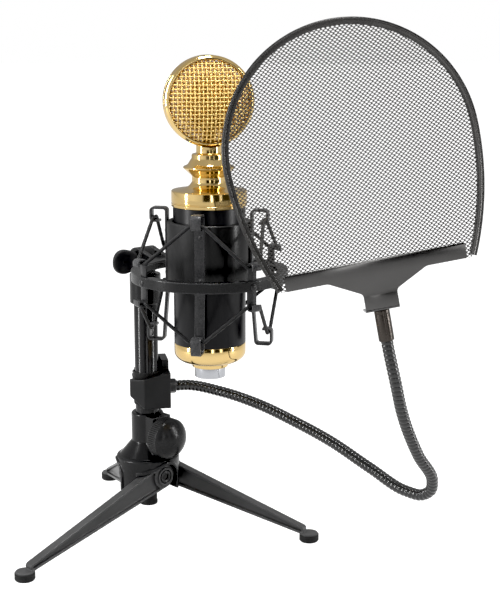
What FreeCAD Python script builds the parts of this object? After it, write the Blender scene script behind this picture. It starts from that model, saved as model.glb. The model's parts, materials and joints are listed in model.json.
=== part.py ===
"""Studio microphone in a shock mount, on a folding table tripod, with a pop filter on a gooseneck.

Millimetres, +Z up, the desk is the plane z = 0. Each function returns one named piece. Pieces are
drawn with the upright rod's axis on x = y = 0, and the whole model is moved at the end so that the
row's origin is the centre of its outline box on the desk.
"""
import FreeCAD, Part
import math
import os

from FreeCAD import Matrix, Vector

# ---------------------------------------------------------------- driving dimensions
ROD_AXIS_AT = Vector(-63.73, 9.61, 0)  # where the rod's axis stands in the finished model

RUNNING = 0.05          # radial clearance of a part that turns or slides in another
GAP = 0.1               # clearance between faces that pass each other
UP = Vector(0, 0, 1)

# tripod
HUB_R = 21.7
HUB_BOTTOM, HUB_RIM, HUB_NECK, HUB_TOP = 34.0, 56.6, 67.0, 87.0
SOCKET_R = 11.0
LEG_FLAT = 11.3         # distance of each leg's inner face from the rod's axis
LEG_WIDTH = 7.0
LEG_WEB = 2.6
LEG_FLANGE = 1.9
LEG_ROOT_R = 8.6
LEG_TIP_R = 2.6
LEG_REACH = 112.55      # pivot to the middle of the foot, along the leg
PIVOT_Z = 44.0
LEG_AZIMUTHS = (-47.83, 72.17, 192.17)
PIVOT_R = 3.0
SCREW_HEAD_R, SCREW_HEAD_T, SCREW_HOLD = 4.1, 1.5, 2.9
SCREW_HEX_R, SCREW_HEX_DEPTH = 2.5, 1.2
PIVOT_RING_R, PIVOT_RING_BORE_R, PIVOT_RING_H = 6.3, 4.7, 1.7
SLOT_GAP = 0.4          # room round a leg's root in its slot in the hub
BROW_W, BROW_OUT = 2.2, 1.1
FOOT_R, FOOT_H, FOOT_SEAT = 6.65, 5.0, 3.2
LEG_DISC_R, LEG_DISC_TOP = 6.2, 6.2

# height clamp, seen along its screw
CLAMP_DIR = Vector(0.70, -0.72, 0).normalize()
KNOB_Z = 72.0
KNOB_R, KNOB_IN, KNOB_RIM, KNOB_OUT = 14.0, 15.6, 24.2, 32.2
BOSS_FACE, BOSS_HALF = 15.2, 8.0
CLAMP_SCREW_R = 3.0

# rod
ROD_R, ROD_BORE_R = 8.0, 6.8
ROD_BOTTOM, THREAD_Z, ROD_TOP = 34.0, 163.4, 182.0
ROD_THREAD_R = 7.9
PLUG_R, PLUG_LIP_R, PLUG_BOTTOM = 6.0, 6.25, 20.0

# pop filter clamp: f points out of its front jaw, s points to its spine
CLAMP_YAW = math.radians(10)
FRONT = Vector(math.sin(CLAMP_YAW), -math.cos(CLAMP_YAW), 0)
SIDE = Vector(math.cos(CLAMP_YAW), math.sin(CLAMP_YAW), 0)
JAW_Z0, JAW_Z1 = 92.0, 117.0
JAW_TOP_LEFT = 110.5    # the front jaw's top edge slopes down to this height at its free end
JAW_END_S, JAW_SLOPE_S = -12.0, 15.0
BACK_Z1 = 123.0
SLEEVE_R = 9.0
JAW_T = 5.0
SPINE_S0, SPINE_S1 = 10.0, 15.0
BACK_JAW_F = -17.0
THUMB_SCREW_R = 2.5
THUMB_KNOB_R = 8.0
THUMB_Z = 106.0

# gooseneck: the hose's centre line from its nut to its ferrule
HOSE_R = 3.75
HOSE_ROOT_S = 28.0
HOSE_Z = 104.0
HOSE_LINE = (
    (51, 2.5, 100), (76, -8, 94.3), (100.5, -24, 86.8), (125, -43, 78.3), (149, -63, 67),
    (170.5, -81.5, 58), (179.5, -89, 58.2), (184.2, -94, 63), (184.5, -98.5, 71),
    (174, -109, 91), (162.0, -120.5, 122), (157.7, -124.2, 140),
)
HOSE_JOINTS = (3, 8, 12)     # the points of the line where one length of hose ends in a ball
BALL_R, BALL_STEM_R = 2.8, 1.5
SOCKET_OPENING = 55.0        # half angle of each socket's mouth, degrees
HOSE_END_CUT = 4.4

# pop filter, in its own frame: x along the bottom edge, y up it, n out of its face
FILTER_AT = Vector(145.2, -125.1, 205.7)
FILTER_YAW, FILTER_LEAN, FILTER_ROLL = math.radians(5), math.radians(5.7), math.radians(9.8)
FILTER_CENTRE, FILTER_R, FILTER_SIDE_R = Vector(-2.2, 75.1, 0), 75.3, 180.3
FILTER_TURN = math.radians(3.0)  # the hoop sits this much askew on its bracket, as in the photo
RIM_LOW = 2.0
RIM_W, RIM_T, RIM_WALL, RIM_ROUND = 4.2, 3.6, 1.2, 0.7
MESH_T = 0.5
PLATE_T = 1.2
PLATE_END_X, PLATE_TOP, PLATE_LOW = 54.2, 10.4, 0.8
TAB_TOP_X, TAB_X, TAB_Y = 29.5, 10.2, -20.0
TAB_SHOULDER_Y = -9.0
SHELF_DEPTH = 10.0
FERRULE_N, FERRULE_R, FERRULE_L = -5.0, 4.65, 18.0
FILTER_SCREW_R = 2.0

# shock mount: its parts are drawn round the microphone's axis
MIC_AXIS = Vector(45.3, -53.3, 0)
ARM_LENGTH = 69.95      # rod axis to microphone axis
RING_R, RING_BAND_T, RING_Z0, RING_Z1 = 50.0, 1.5, 190.4, 196.8
FLANGE_R, FLANGE_T = 43.6, 1.3
TILT_Z = 193.6
ARM_AZIMUTH = -139.6    # azimuths run from -Y towards +X
POST_AZIMUTHS = (-56, 34, 124, -146)
CRADLE_AZIMUTHS = (-11, 79, 169, -101)
STRIP_T, STRIP_W = 1.5, 6.4
EAR_IN, EAR_OUT, EAR_R = 4.05, 7.5, 8.5
BOLT_R = 2.5
BARREL_R, BARREL_Z0, BARREL_Z1 = 10.5, 163.5, 184.0
LEVER_END, LEVER_T, LEVER_H, LEVER_ROOT_H = 26.0, 5.0, 16.8, 13.0
SHELL_R, SHELL_BORE_R, SHELL_Z0, SHELL_Z1 = 26.7, 23.0, 188.0, 228.0
SHELL_SEAM_AZIMUTH = -5.0
HOOK_TOP_R, HOOK_LOW_R, HOOK_LOW_ROOT_R = 37.6, 40.2, 30.2
HOOK_LIP = 5.6          # length of the lip that is turned in at each hook's end
HOOK_TOP, HOOK_TOP_LIP, HOOK_LOW, HOOK_LOW_LIP = 235.2, 227.0, 149.6, 159.4
SPLAY_Z = 184.0         # below this height the cradle's arms lean outwards
POST_R, POST_OUT_R, POST_TOP, POST_LOW, POST_LIP = 47.75, 53.2, 207.4, 178.8, 3.7
CORD_R = 1.15
CORD_TURN = 4.5         # half length of the cord's straight stretch across each hook
RIVET_R, RIVET_HEAD_R = 1.2, 2.3

# microphone
TUBE_R, TUBE_BORE_R, TUBE_Z0, TUBE_Z1 = 22.9, 21.4, 149.5, 237.3
CAP_R, CAP_STRAIGHT_Z, CAP_Z0, CAP_STEP_R, CAP_STEP_Z = 22.95, 143.4, 136.2, 11.7, 133.3
PLUG_SHELL_R, PLUG_SHELL_BORE_R, PLUG_SHELL_Z0 = 9.8, 8.4, 126.6
PIN_R, PIN_CIRCLE_R = 1.2, 3.6
COLLAR_R, COLLAR_TOP = 23.9, 247.4
WAIST_R, WAIST_Z0, WAIST_Z1 = 10.8, 252.5, 255.6
LIP_R, LIP_Z = 16.3, 261.4
SHOULDER_R, SHOULDER_Z0, SHOULDER_Z1 = 10.9, 267.0, 270.0
NECK_R, NECK_TOP = 8.0, 280.0
NECK_BORE_R = 3.1
HEAD_Z, HEAD_R, HEAD_BORE_R, HEAD_HALF_T = 302.6, 28.2, 25.6, 6.5
HEAD_AZIMUTH = 12.0
GRILLE_BULGE, GRILLE_T = 6.5, 1.0
CAPSULE_R, CAPSULE_T = 13.0, 7.0


# ---------------------------------------------------------------- helpers
def cyl(radius, z0, z1):
    """A cylinder about the z axis."""
    return Part.makeCylinder(radius, z1 - z0, Vector(0, 0, z0))


def tube(outer, inner, z0, z1):
    return cyl(outer, z0, z1).cut(cyl(inner, z0, z1))


def rod_along(radius, start, end):
    """A cylinder from one point to another."""
    along = end - start
    return Part.makeCylinder(radius, along.Length, start, along)


def block(x0, x1, y0, y1, z0, z1):
    return Part.makeBox(x1 - x0, y1 - y0, z1 - z0, Vector(x0, y0, z0))


def fuse(first, *others):
    return first.multiFuse(list(others)).removeSplitter()


def group(shapes):
    """Separate solids kept together under one name."""
    return Part.makeCompound(list(shapes))


def turned(profile):
    """A solid of revolution about z. The profile's points are (radius, z), in order round it."""
    points = [Vector(r, 0, z) for r, z in profile]
    face = Part.Face(Part.makePolygon(points + points[:1]))
    return face.revolve(Vector(0, 0, 0), UP, 360)


def placed(shape, origin, x_dir, z_dir):
    """The shape moved from its own frame to one with this origin, x direction and z direction."""
    y_dir = z_dir.cross(x_dir)
    columns = [x_dir, y_dir, z_dir, origin]
    rows = [[c.x for c in columns], [c.y for c in columns], [c.z for c in columns], [0, 0, 0, 1]]
    return shape.transformed(Matrix(*[number for row in rows for number in row]), True)


def radial(azimuth):
    """The direction at an azimuth that runs from -Y towards +X."""
    angle = math.radians(azimuth)
    return Vector(math.sin(angle), -math.cos(angle), 0)


def round_the_mic(shape, azimuth):
    """Turns a shape drawn with +x outwards to an azimuth about the microphone's axis."""
    turned_shape = shape.copy()
    turned_shape.rotate(Vector(0, 0, 0), UP, azimuth - 90)
    turned_shape.translate(MIC_AXIS)
    return turned_shape


def rounded_path(points, radius):
    """A wire through the points, with each corner rounded."""
    edges = []
    start = points[0]
    for before, corner, after in zip(points, points[1:], points[2:]):
        into = (before - corner).normalize()
        out = (after - corner).normalize()
        half = into.getAngle(out) / 2
        back = radius / math.tan(half)
        first, last = corner + into * back, corner + out * back
        centre = corner + (into + out).normalize() * (radius / math.sin(half))
        middle = centre + (corner - centre).normalize() * radius
        edges.append(Part.makeLine(start, first))
        edges.append(Part.Arc(first, middle, last).toShape())
        start = last
    edges.append(Part.makeLine(start, points[-1]))
    return Part.Wire(edges)


def bent_strip(profile, thickness, width, bend):
    """A metal strip bent along a path of (radius, z) points, with rounded ends, width across y."""
    path = rounded_path([Vector(r, 0, z) for r, z in profile], bend)
    outline = path.makeOffset2D(thickness / 2, 0, False, False, False)
    strip = Part.Face(outline).extrude(Vector(0, width, 0))
    low = strip.BoundBox.YMin
    strip.translate(Vector(0, -width / 2 - low, 0))
    return strip


# ---------------------------------------------------------------- tripod
def leg_frame(shape, azimuth):
    """Puts a shape at one leg's pivot: x along the leg, y outwards from the rod, z up."""
    angle = math.radians(azimuth)
    along = Vector(math.sin(angle), -math.cos(angle), 0)
    return placed(shape, Vector(0, 0, PIVOT_Z), along, UP)


def knob_frame(shape):
    """Puts a shape drawn along +z onto the height clamp's screw line."""
    return placed(shape, Vector(0, 0, KNOB_Z), UP, CLAMP_DIR)


def slot_outline(grow):
    """The side view of a leg's slot in the hub, open below and on the side the leg leaves by."""
    root_r = LEG_ROOT_R + SLOT_GAP + grow
    below, beyond = -30, 60
    lean = leg_slope() - math.asin((LEG_ROOT_R - LEG_TIP_R) / leg_tip().Length)
    touch = Vector(-math.sin(lean), 0, math.cos(lean)) * root_r
    end = touch + Vector(math.cos(lean), 0, math.sin(lean)) * beyond
    wire = Part.Wire([
        Part.makeLine(Vector(-root_r, 0, below), Vector(-root_r, 0, 0)),
        Part.Arc(Vector(-root_r, 0, 0), Vector(-1, 0, 1) * (root_r / math.sqrt(2)), touch).toShape(),
        Part.makeLine(touch, end),
        Part.makeLine(end, Vector(end.x, 0, below)),
        Part.makeLine(Vector(end.x, 0, below), Vector(-root_r, 0, below)),
    ])
    return Part.Face(wire)


def leg_slot(grow):
    """A leg's slot as a solid that reaches from the leg's inner face outwards."""
    slot = slot_outline(grow).extrude(Vector(0, HUB_R + 10, 0))
    slot.translate(Vector(0, LEG_FLAT, 0))
    return slot


def hub():
    body = turned([
        (0, HUB_BOTTOM), (HUB_R - 1, HUB_BOTTOM), (HUB_R, HUB_BOTTOM + 1), (HUB_R, HUB_RIM - 0.8),
        (HUB_R - 0.8, HUB_RIM), (HUB_R - 2.2, HUB_RIM + 0.3), (HUB_R - 6.2, HUB_RIM + 4.9),
        (SOCKET_R, HUB_NECK), (SOCKET_R, HUB_TOP - 0.8), (SOCKET_R - 0.8, HUB_TOP), (0, HUB_TOP),
    ])
    boss = knob_frame(block(-KNOB_R, KNOB_R, -BOSS_HALF, BOSS_HALF, 0, BOSS_FACE))
    body = fuse(body, boss)
    skin = cyl(HUB_R + BROW_OUT, HUB_BOTTOM, HUB_RIM)
    for azimuth in LEG_AZIMUTHS:
        body = body.fuse(leg_frame(leg_slot(BROW_W), azimuth).common(skin))
    for azimuth in LEG_AZIMUTHS:
        body = body.cut(leg_frame(leg_slot(0), azimuth))
        body = body.cut(leg_frame(pivot_shank(), azimuth))
    body = body.cut(knob_frame(cyl(KNOB_R + SLOT_GAP, BOSS_FACE, 60)))
    body = body.cut(knob_frame(cyl(CLAMP_SCREW_R + RUNNING, 0, 40)))
    return body.cut(cyl(ROD_R + RUNNING, 0, 100)).removeSplitter()


def pivot_shank():
    """The part of a leg screw that is fixed in the hub, drawn at the pivot with y outwards."""
    return rod_along(PIVOT_R, Vector(0, LEG_FLAT - SCREW_HOLD, 0), Vector(0, LEG_FLAT, 0))


def leg_tip():
    """The middle of the leg's tip, seen from the pivot."""
    return Vector(LEG_REACH - 5.2, 0, LEG_DISC_TOP + LEG_TIP_R - 1.0 - PIVOT_Z)


def leg_slope():
    return math.atan2(leg_tip().z, leg_tip().x)


def leg_outline(grow):
    """The leg's side view, root disc to tip, grown or shrunk all round by a distance."""
    tip, slope = leg_tip(), leg_slope()
    root_r, tip_r = LEG_ROOT_R + grow, LEG_TIP_R + grow
    lean = math.asin((root_r - tip_r) / tip.Length)
    upper, lower = slope + math.pi / 2 - lean, slope - math.pi / 2 + lean

    def on(centre, radius, angle):
        return centre + Vector(math.cos(angle), 0, math.sin(angle)) * radius

    root = Vector(0, 0, 0)
    wire = Part.Wire([
        Part.makeLine(on(root, root_r, upper), on(tip, tip_r, upper)),
        Part.Arc(on(tip, tip_r, upper), on(tip, tip_r, slope), on(tip, tip_r, lower)).toShape(),
        Part.makeLine(on(tip, tip_r, lower), on(root, root_r, lower)),
        Part.Arc(on(root, root_r, lower), on(root, root_r, slope + math.pi),
                 on(root, root_r, upper)).toShape(),
    ])
    return Part.Face(wire)


def leg():
    """One leg in its own frame: x along it, y outwards from the rod, z up from the pivot."""
    inner, outer = LEG_FLAT + RUNNING, LEG_FLAT + LEG_WIDTH

    def slab(face, y0, y1):
        solid = face.extrude(Vector(0, y1 - y0, 0))
        solid.translate(Vector(0, y0, 0))
        return solid

    body = slab(leg_outline(0), inner, outer)
    middle = (inner + outer) / 2
    disc = cyl(LEG_DISC_R, FOOT_SEAT - PIVOT_Z, LEG_DISC_TOP - PIVOT_Z)
    disc.translate(Vector(LEG_REACH, middle, 0))
    body = fuse(body, disc)
    pocket = leg_outline(-LEG_FLANGE)
    keep_root = rod_along(PIVOT_RING_R + 2.2, Vector(0, inner - 1, 0), Vector(0, outer + 1, 0))
    for y0, y1 in ((inner - 1, middle - LEG_WEB / 2), (middle + LEG_WEB / 2, outer + 1)):
        body = body.cut(slab(pocket, y0, y1).cut(keep_root))
    foot_top = Vector(LEG_REACH, middle, FOOT_SEAT - PIVOT_Z)
    body = body.cut(rod_along(FOOT_R + GAP, foot_top - UP * 20, foot_top))
    ring = rod_along(PIVOT_RING_R, Vector(0, outer - 1, 0), Vector(0, outer + PIVOT_RING_H, 0))
    ring = ring.cut(rod_along(PIVOT_RING_BORE_R, Vector(0, outer, 0), Vector(0, outer + 9, 0)))
    body = fuse(body, ring)
    return body.cut(rod_along(PIVOT_R + RUNNING, Vector(0, inner - 1, 0), Vector(0, outer + 1, 0)))


def foot():
    """A rubber cup under one leg's disc, in the leg's frame."""
    pad = cyl(FOOT_R, 0.6, FOOT_H).fuse(Part.makeCone(FOOT_R - 0.6, FOOT_R, 0.6))
    pad = pad.cut(cyl(LEG_DISC_R, FOOT_SEAT, FOOT_H)).removeSplitter()
    pad.translate(Vector(LEG_REACH, LEG_FLAT + (LEG_WIDTH + RUNNING) / 2, -PIVOT_Z))
    tip_clear = leg_outline(0.3).extrude(Vector(0, 60, 0))
    return pad.cut(tip_clear)


def leg_screws():
    """Three shoulder screws with hexagon sockets."""
    head_at = LEG_FLAT + LEG_WIDTH + GAP
    start, middle = Vector(0, LEG_FLAT - SCREW_HOLD, 0), Vector(0, head_at, 0)
    end = Vector(0, head_at + SCREW_HEAD_T, 0)
    screw = rod_along(PIVOT_R, start, middle).fuse(rod_along(SCREW_HEAD_R, middle, end))
    corners = [Vector(SCREW_HEX_R * math.cos(math.radians(a)), end.y - SCREW_HEX_DEPTH,
                      SCREW_HEX_R * math.sin(math.radians(a))) for a in range(0, 361, 60)]
    socket = Part.Face(Part.makePolygon(corners)).extrude(Vector(0, 5, 0))
    screw = screw.cut(socket).removeSplitter()
    return group(leg_frame(screw, azimuth) for azimuth in LEG_AZIMUTHS)


def height_screw():
    tip = ROD_R + 1.6
    return knob_frame(cyl(CLAMP_SCREW_R, tip, KNOB_OUT - 8))


def height_pad():
    return knob_frame(cyl(CLAMP_SCREW_R - 0.1, ROD_R + 0.1, ROD_R + 1.6))


def height_knob():
    dome_r = (KNOB_R ** 2 + (KNOB_OUT - KNOB_RIM) ** 2) / (2 * (KNOB_OUT - KNOB_RIM))
    dome = Part.makeSphere(dome_r, Vector(0, 0, KNOB_OUT - dome_r)).common(cyl(KNOB_R, KNOB_RIM, KNOB_OUT))
    rim = cyl(KNOB_R, KNOB_IN, KNOB_RIM)
    knob = fuse(rim, dome)
    grip = []
    for k in range(24):
        angle = math.radians(15 * k)
        at = Vector(KNOB_R * math.cos(angle) * 1.03, KNOB_R * math.sin(angle) * 1.03, 0)
        grip.append(Part.makeCylinder(0.9, KNOB_RIM - 1.6 - KNOB_IN + 1, at + UP * (KNOB_IN - 1)))
    knob = knob.cut(group(grip))
    return knob_frame(knob.cut(cyl(CLAMP_SCREW_R + RUNNING, KNOB_IN - 1, KNOB_OUT - 8)))


# ---------------------------------------------------------------- rod
def rod():
    return turned([
        (ROD_BORE_R, ROD_BOTTOM), (ROD_R, ROD_BOTTOM), (ROD_R, THREAD_Z), (ROD_THREAD_R, THREAD_Z),
        (ROD_THREAD_R, ROD_TOP - 0.6), (ROD_THREAD_R - 0.6, ROD_TOP), (ROD_BORE_R, ROD_TOP),
    ])


def rod_plug():
    return turned([
        (0, PLUG_BOTTOM), (PLUG_LIP_R, PLUG_BOTTOM), (PLUG_LIP_R, PLUG_BOTTOM + 1.5),
        (PLUG_R, PLUG_BOTTOM + 3), (PLUG_R, ROD_BOTTOM), (ROD_BORE_R, ROD_BOTTOM),
        (ROD_BORE_R, ROD_BOTTOM + 10), (0, ROD_BOTTOM + 10),
    ])


# ---------------------------------------------------------------- pop filter clamp
def clamp_frame(shape):
    """Puts a shape on the rod: x to the clamp's spine, y to its back jaw, z up."""
    return placed(shape, Vector(0, 0, 0), SIDE, UP)


def clamp_sleeve():
    ring = tube(SLEEVE_R, ROD_R + RUNNING, JAW_Z0 + 1, JAW_Z1 - 1)
    return clamp_frame(ring.cut(block(-20, 0, -0.6, 0.6, 0, 200)))


def clamp_body():
    """A C round the rod: sloped front jaw, spine and a taller back jaw with the thumb screw's boss."""
    front = -(SLEEVE_R + RUNNING)
    outer = front - JAW_T
    back = -BACK_JAW_F
    plan = [
        (SPINE_S1, outer), (-3, outer), (JAW_END_S, outer + 8.2), (JAW_END_S, outer + 12),
        (JAW_END_S + 3.5, outer + 12), (-2.4, front), (SPINE_S0, front), (SPINE_S0, back - JAW_T),
        (-6, back - JAW_T), (-6, back), (SPINE_S1, back),
    ]
    corners = [Vector(x, y, JAW_Z0) for x, y in plan]
    body = Part.Face(Part.makePolygon(corners + corners[:1])).extrude(UP * (BACK_Z1 - JAW_Z0))
    over = [Vector(JAW_SLOPE_S + 1, 0, JAW_Z1), Vector(JAW_END_S - 1, 0, JAW_TOP_LEFT),
            Vector(JAW_END_S - 1, 0, BACK_Z1 + 1), Vector(JAW_SLOPE_S + 1, 0, BACK_Z1 + 1)]
    under = [Vector(-3, 0, JAW_Z0), Vector(-20, 0, JAW_Z0), Vector(-20, 0, JAW_Z0 + 14)]
    for side_view, depth in ((over, outer + 12.5), (under, back - JAW_T - 1)):
        wedge = Part.Face(Part.makePolygon(side_view + side_view[:1])).extrude(Vector(0, depth + 20, 0))
        wedge.translate(Vector(0, -20, 0))
        body = body.cut(wedge)
    boss = rod_along(6, Vector(0, back - JAW_T, THUMB_Z), Vector(0, back + 2, THUMB_Z))
    body = fuse(body, boss)
    edges = [e for e in body.Edges if abs(e.BoundBox.ZLength - (BACK_Z1 - JAW_Z0)) < 0.1]
    body = body.makeFillet(0.8, edges)
    body = body.cut(cyl(SLEEVE_R + RUNNING, JAW_Z0 - 1, BACK_Z1 + 1))
    body = body.cut(rod_along(THUMB_SCREW_R + RUNNING, Vector(0, 9, THUMB_Z), Vector(0, 30, THUMB_Z)))
    body = body.cut(rod_along(2.0, Vector(SPINE_S0 - 1, 0, HOSE_Z), Vector(SPINE_S1 + 1, 0, HOSE_Z)))
    return clamp_frame(body)


def thumb_frame(shape):
    """Puts a shape drawn along +z onto the thumb screw's line, pointing out of the clamp's back."""
    return placed(shape, Vector(0, 0, THUMB_Z), UP, FRONT * -1)


def clamp_screw():
    return thumb_frame(cyl(THUMB_SCREW_R, SLEEVE_R + 1.8, 27))


def clamp_pad():
    return thumb_frame(cyl(4.0, SLEEVE_R + RUNNING, SLEEVE_R + 1.8))


def clamp_knob():
    knob = turned([
        (0, 22), (THUMB_KNOB_R - 0.8, 22), (THUMB_KNOB_R, 22.8), (THUMB_KNOB_R, 27.5),
        (THUMB_KNOB_R - 1.5, 29), (0, 29.6),
    ])
    notches = []
    for k in range(16):
        angle = math.radians(22.5 * k)
        at = Vector(math.cos(angle), math.sin(angle), 0) * (THUMB_KNOB_R * 1.04)
        notches.append(Part.makeCylinder(0.8, 12, at + UP * 20))
    knob = knob.cut(group(notches))
    return thumb_frame(knob.cut(cyl(THUMB_SCREW_R + RUNNING, 20, 27)))


# ---------------------------------------------------------------- gooseneck
def hose_points():
    """The centre line's points, from the crimped root to the ferrule."""
    root = SIDE * HOSE_ROOT_S + UP * HOSE_Z
    return [root] + [Vector(*p) for p in HOSE_LINE] + [ferrule_end()]


def hose_curve():
    curve = Part.BSplineCurve()
    points = hose_points()
    curve.interpolate(Points=points, InitialTangent=SIDE * 25, FinalTangent=FILTER_Y * 30)
    return curve, points


def hose_length(number):
    """One rigid length of the hose, with a socket at its start and a ball at its end."""
    curve, points = hose_curve()
    ends = (0,) + HOSE_JOINTS + (len(points) - 1,)
    start, end = points[ends[number - 1]], points[ends[number]]
    a, b = curve.parameter(start), curve.parameter(end)
    spine = Part.Wire(curve.toShape(a, b))
    into, out = curve.tangent(a)[0], curve.tangent(b)[0]
    ring = Part.Wire(Part.makeCircle(HOSE_R, start, into))
    body = spine.makePipeShell([ring], True, True)
    body = body.fuse(Part.makeSphere(HOSE_R, start))
    if number < len(ends) - 1:
        body = body.cut(Part.makeSphere(HOSE_END_CUT, end))
        stem = Part.makeCylinder(BALL_STEM_R, HOSE_END_CUT + 1.5, end, out * -1)
        body = body.multiFuse([stem, Part.makeSphere(BALL_R, end)])
    return hollow_socket(body, start, into)


def hollow_socket(body, centre, along):
    """Cuts a ball seat and the cone that its stem swings in."""
    depth = HOSE_R + 2
    mouth = Part.makeCone(0, depth * math.tan(math.radians(SOCKET_OPENING)), depth, centre, along * -1)
    return body.cut(Part.makeSphere(BALL_R + RUNNING, centre)).cut(mouth)


def hose_root():
    """The crimped end of the hose in its nut, ending in the first ball."""
    end = SIDE * HOSE_ROOT_S + UP * HOSE_Z
    start = SIDE * (SPINE_S1 + 5.0) + UP * HOSE_Z
    stub = rod_along(HOSE_R, start, end).cut(Part.makeSphere(HOSE_END_CUT, end))
    stem = Part.makeCylinder(BALL_STEM_R, HOSE_END_CUT + 1.5, end, SIDE * -1)
    return fuse(stub, stem, Part.makeSphere(BALL_R, end))


def hose_nut():
    base = SIDE * SPINE_S1 + UP * HOSE_Z
    corners = [Vector(5.2 * math.cos(math.radians(a)), 5.2 * math.sin(math.radians(a)), 0)
               for a in range(0, 361, 60)]
    nut = Part.Face(Part.makePolygon(corners)).extrude(UP * 5)
    nut = nut.fuse(Part.makeCylinder(2.0, SPINE_S1 - SPINE_S0, Vector(0, 0, SPINE_S0 - SPINE_S1)))
    return placed(nut, base, UP, SIDE)


# ---------------------------------------------------------------- pop filter
FILTER_N = Vector(math.sin(FILTER_YAW) * math.cos(FILTER_LEAN),
                  -math.cos(FILTER_YAW) * math.cos(FILTER_LEAN), math.sin(FILTER_LEAN))
LEVEL = Vector(math.cos(FILTER_YAW), math.sin(FILTER_YAW), 0)
STEEP = FILTER_N.cross(LEVEL)
FILTER_X = LEVEL * math.cos(FILTER_ROLL) + STEEP * math.sin(FILTER_ROLL)
FILTER_Y = STEEP * math.cos(FILTER_ROLL) - LEVEL * math.sin(FILTER_ROLL)


def filter_frame(shape):
    return placed(shape, FILTER_AT, FILTER_X, FILTER_N)


def ferrule_end():
    """The point where the hose enters the ferrule."""
    return FILTER_AT + FILTER_N * FERRULE_N + FILTER_Y * (TAB_Y - 0.2 - FERRULE_L)


def filter_outline(inset, low):
    """The filter's face: a round top, and sides of a larger radius that close in to y = low."""
    across = Vector(math.cos(FILTER_TURN), math.sin(FILTER_TURN), 0)
    top = FILTER_CENTRE + UP.cross(across) * (FILTER_R - inset)
    sides = []
    for out in (across, across * -1):
        centre = FILTER_CENTRE - out * (FILTER_SIDE_R - FILTER_R)
        radius = FILTER_SIDE_R - inset
        drop = centre.y - low
        touch = centre + out * radius
        foot = centre + Vector(math.copysign(math.sqrt(radius ** 2 - drop ** 2), out.x), -drop, 0)
        middle = centre + ((touch + foot) / 2 - centre).normalize() * radius
        sides.append((touch, middle, foot))
    (right, right_middle, right_foot), (left, left_middle, left_foot) = sides
    return Part.Face(Part.Wire([
        Part.Arc(right_foot, right_middle, right).toShape(),
        Part.Arc(right, top, left).toShape(),
        Part.Arc(left, left_middle, left_foot).toShape(),
        Part.makeLine(left_foot, right_foot),
    ]))


def plate(face, n0, n1):
    solid = face.extrude(UP * (n1 - n0))
    solid.translate(UP * n0)
    return solid


def rim_bend(centre, out, radius, turn):
    """A length of the rim: its rounded section, slotted for the mesh, carried round a centre."""
    inner, half, slot = radius - RIM_W, RIM_T / 2, MESH_T / 2 + RUNNING
    seat = radius - RIM_WALL
    near = RIM_ROUND * (1 - math.sqrt(0.5))

    def at(r, n):
        return centre + out * r + UP * n

    corners = []
    for r, n, into, down in ((inner, half, 1, -1), (radius, half, -1, -1), (radius, -half, -1, 1), (inner, -half, 1, 1)):
        ends = [at(r, n + down * RIM_ROUND), at(r + into * RIM_ROUND, n)]
        if into == down:
            ends.reverse()
        corners.append((ends[0], at(r + into * near, n + down * near), ends[1]))
    edges = [Part.Arc(*corner).toShape() for corner in corners]
    edges += [Part.makeLine(a[2], b[0]) for a, b in zip(corners, corners[1:])]
    edges += Part.makePolygon([corners[3][2], at(inner, -slot), at(seat, -slot), at(seat, slot), at(inner, slot),
                               corners[0][0]]).Edges
    return Part.Face(Part.Wire(Part.__sortEdges__(edges))).revolve(centre, UP, turn)


def filter_rim():
    across = Vector(math.cos(FILTER_TURN), math.sin(FILTER_TURN), 0)
    rim = rim_bend(FILTER_CENTRE, across, FILTER_R, 180)
    for out, way in ((across, -1), (across * -1, 1)):
        centre = FILTER_CENTRE - out * (FILTER_SIDE_R - FILTER_R)
        turn = math.asin((centre.y - RIM_LOW) / FILTER_SIDE_R) + math.asin(out.y)
        rim = rim.fuse(rim_bend(centre, out, FILTER_SIDE_R, way * math.degrees(turn)))
    return filter_frame(rim)


def filter_mesh():
    return filter_frame(plate(filter_outline(1.4, PLATE_LOW + 0.6), -MESH_T / 2, MESH_T / 2))


def filter_bracket():
    outline = [
        (-PLATE_END_X, PLATE_TOP), (-PLATE_END_X, PLATE_LOW), (-TAB_TOP_X, PLATE_LOW),
        (-TAB_X, TAB_SHOULDER_Y), (-TAB_X, TAB_Y), (TAB_X, TAB_Y), (TAB_X, TAB_SHOULDER_Y),
        (TAB_TOP_X, PLATE_LOW), (PLATE_END_X, PLATE_LOW), (PLATE_END_X, PLATE_TOP),
    ]
    corners = [Vector(x, y, 0) for x, y in outline]
    front = MESH_T / 2
    face = plate(Part.Face(Part.makePolygon(corners + corners[:1])), front, front + PLATE_T)
    shelf = block(-TAB_X, TAB_X, TAB_Y, TAB_Y + PLATE_T, -SHELF_DEPTH, front + PLATE_T)
    hole = rod_along(FILTER_SCREW_R + RUNNING, Vector(0, TAB_Y - 5, FERRULE_N), Vector(0, TAB_Y + 5, FERRULE_N))
    return filter_frame(fuse(face, shelf).cut(hole))


def filter_back_strip():
    x, back = PLATE_END_X - 1.5, -MESH_T / 2
    return filter_frame(block(-x, x, PLATE_LOW + 0.2, PLATE_TOP - 1.2, back - 1.0, back))


def ferrule_frame(shape):
    """Puts a shape drawn along +z onto the ferrule's line, with z = 0 under the bracket's shelf."""
    return placed(shape, FILTER_AT + FILTER_N * FERRULE_N + FILTER_Y * TAB_Y, FILTER_X, FILTER_Y)


def hose_ferrule():
    body = turned([
        (0, -0.1), (FERRULE_R - 0.8, -0.1), (FERRULE_R, -0.9), (FERRULE_R, -FERRULE_L - 0.6),
        (FERRULE_R - 0.6, -FERRULE_L - 1.2), (HOSE_R, -FERRULE_L - 1.2), (HOSE_R, -FERRULE_L - 0.2),
        (0, -FERRULE_L - 0.2),
    ])
    return ferrule_frame(body.cut(cyl(FILTER_SCREW_R, -10, 1)))


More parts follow.
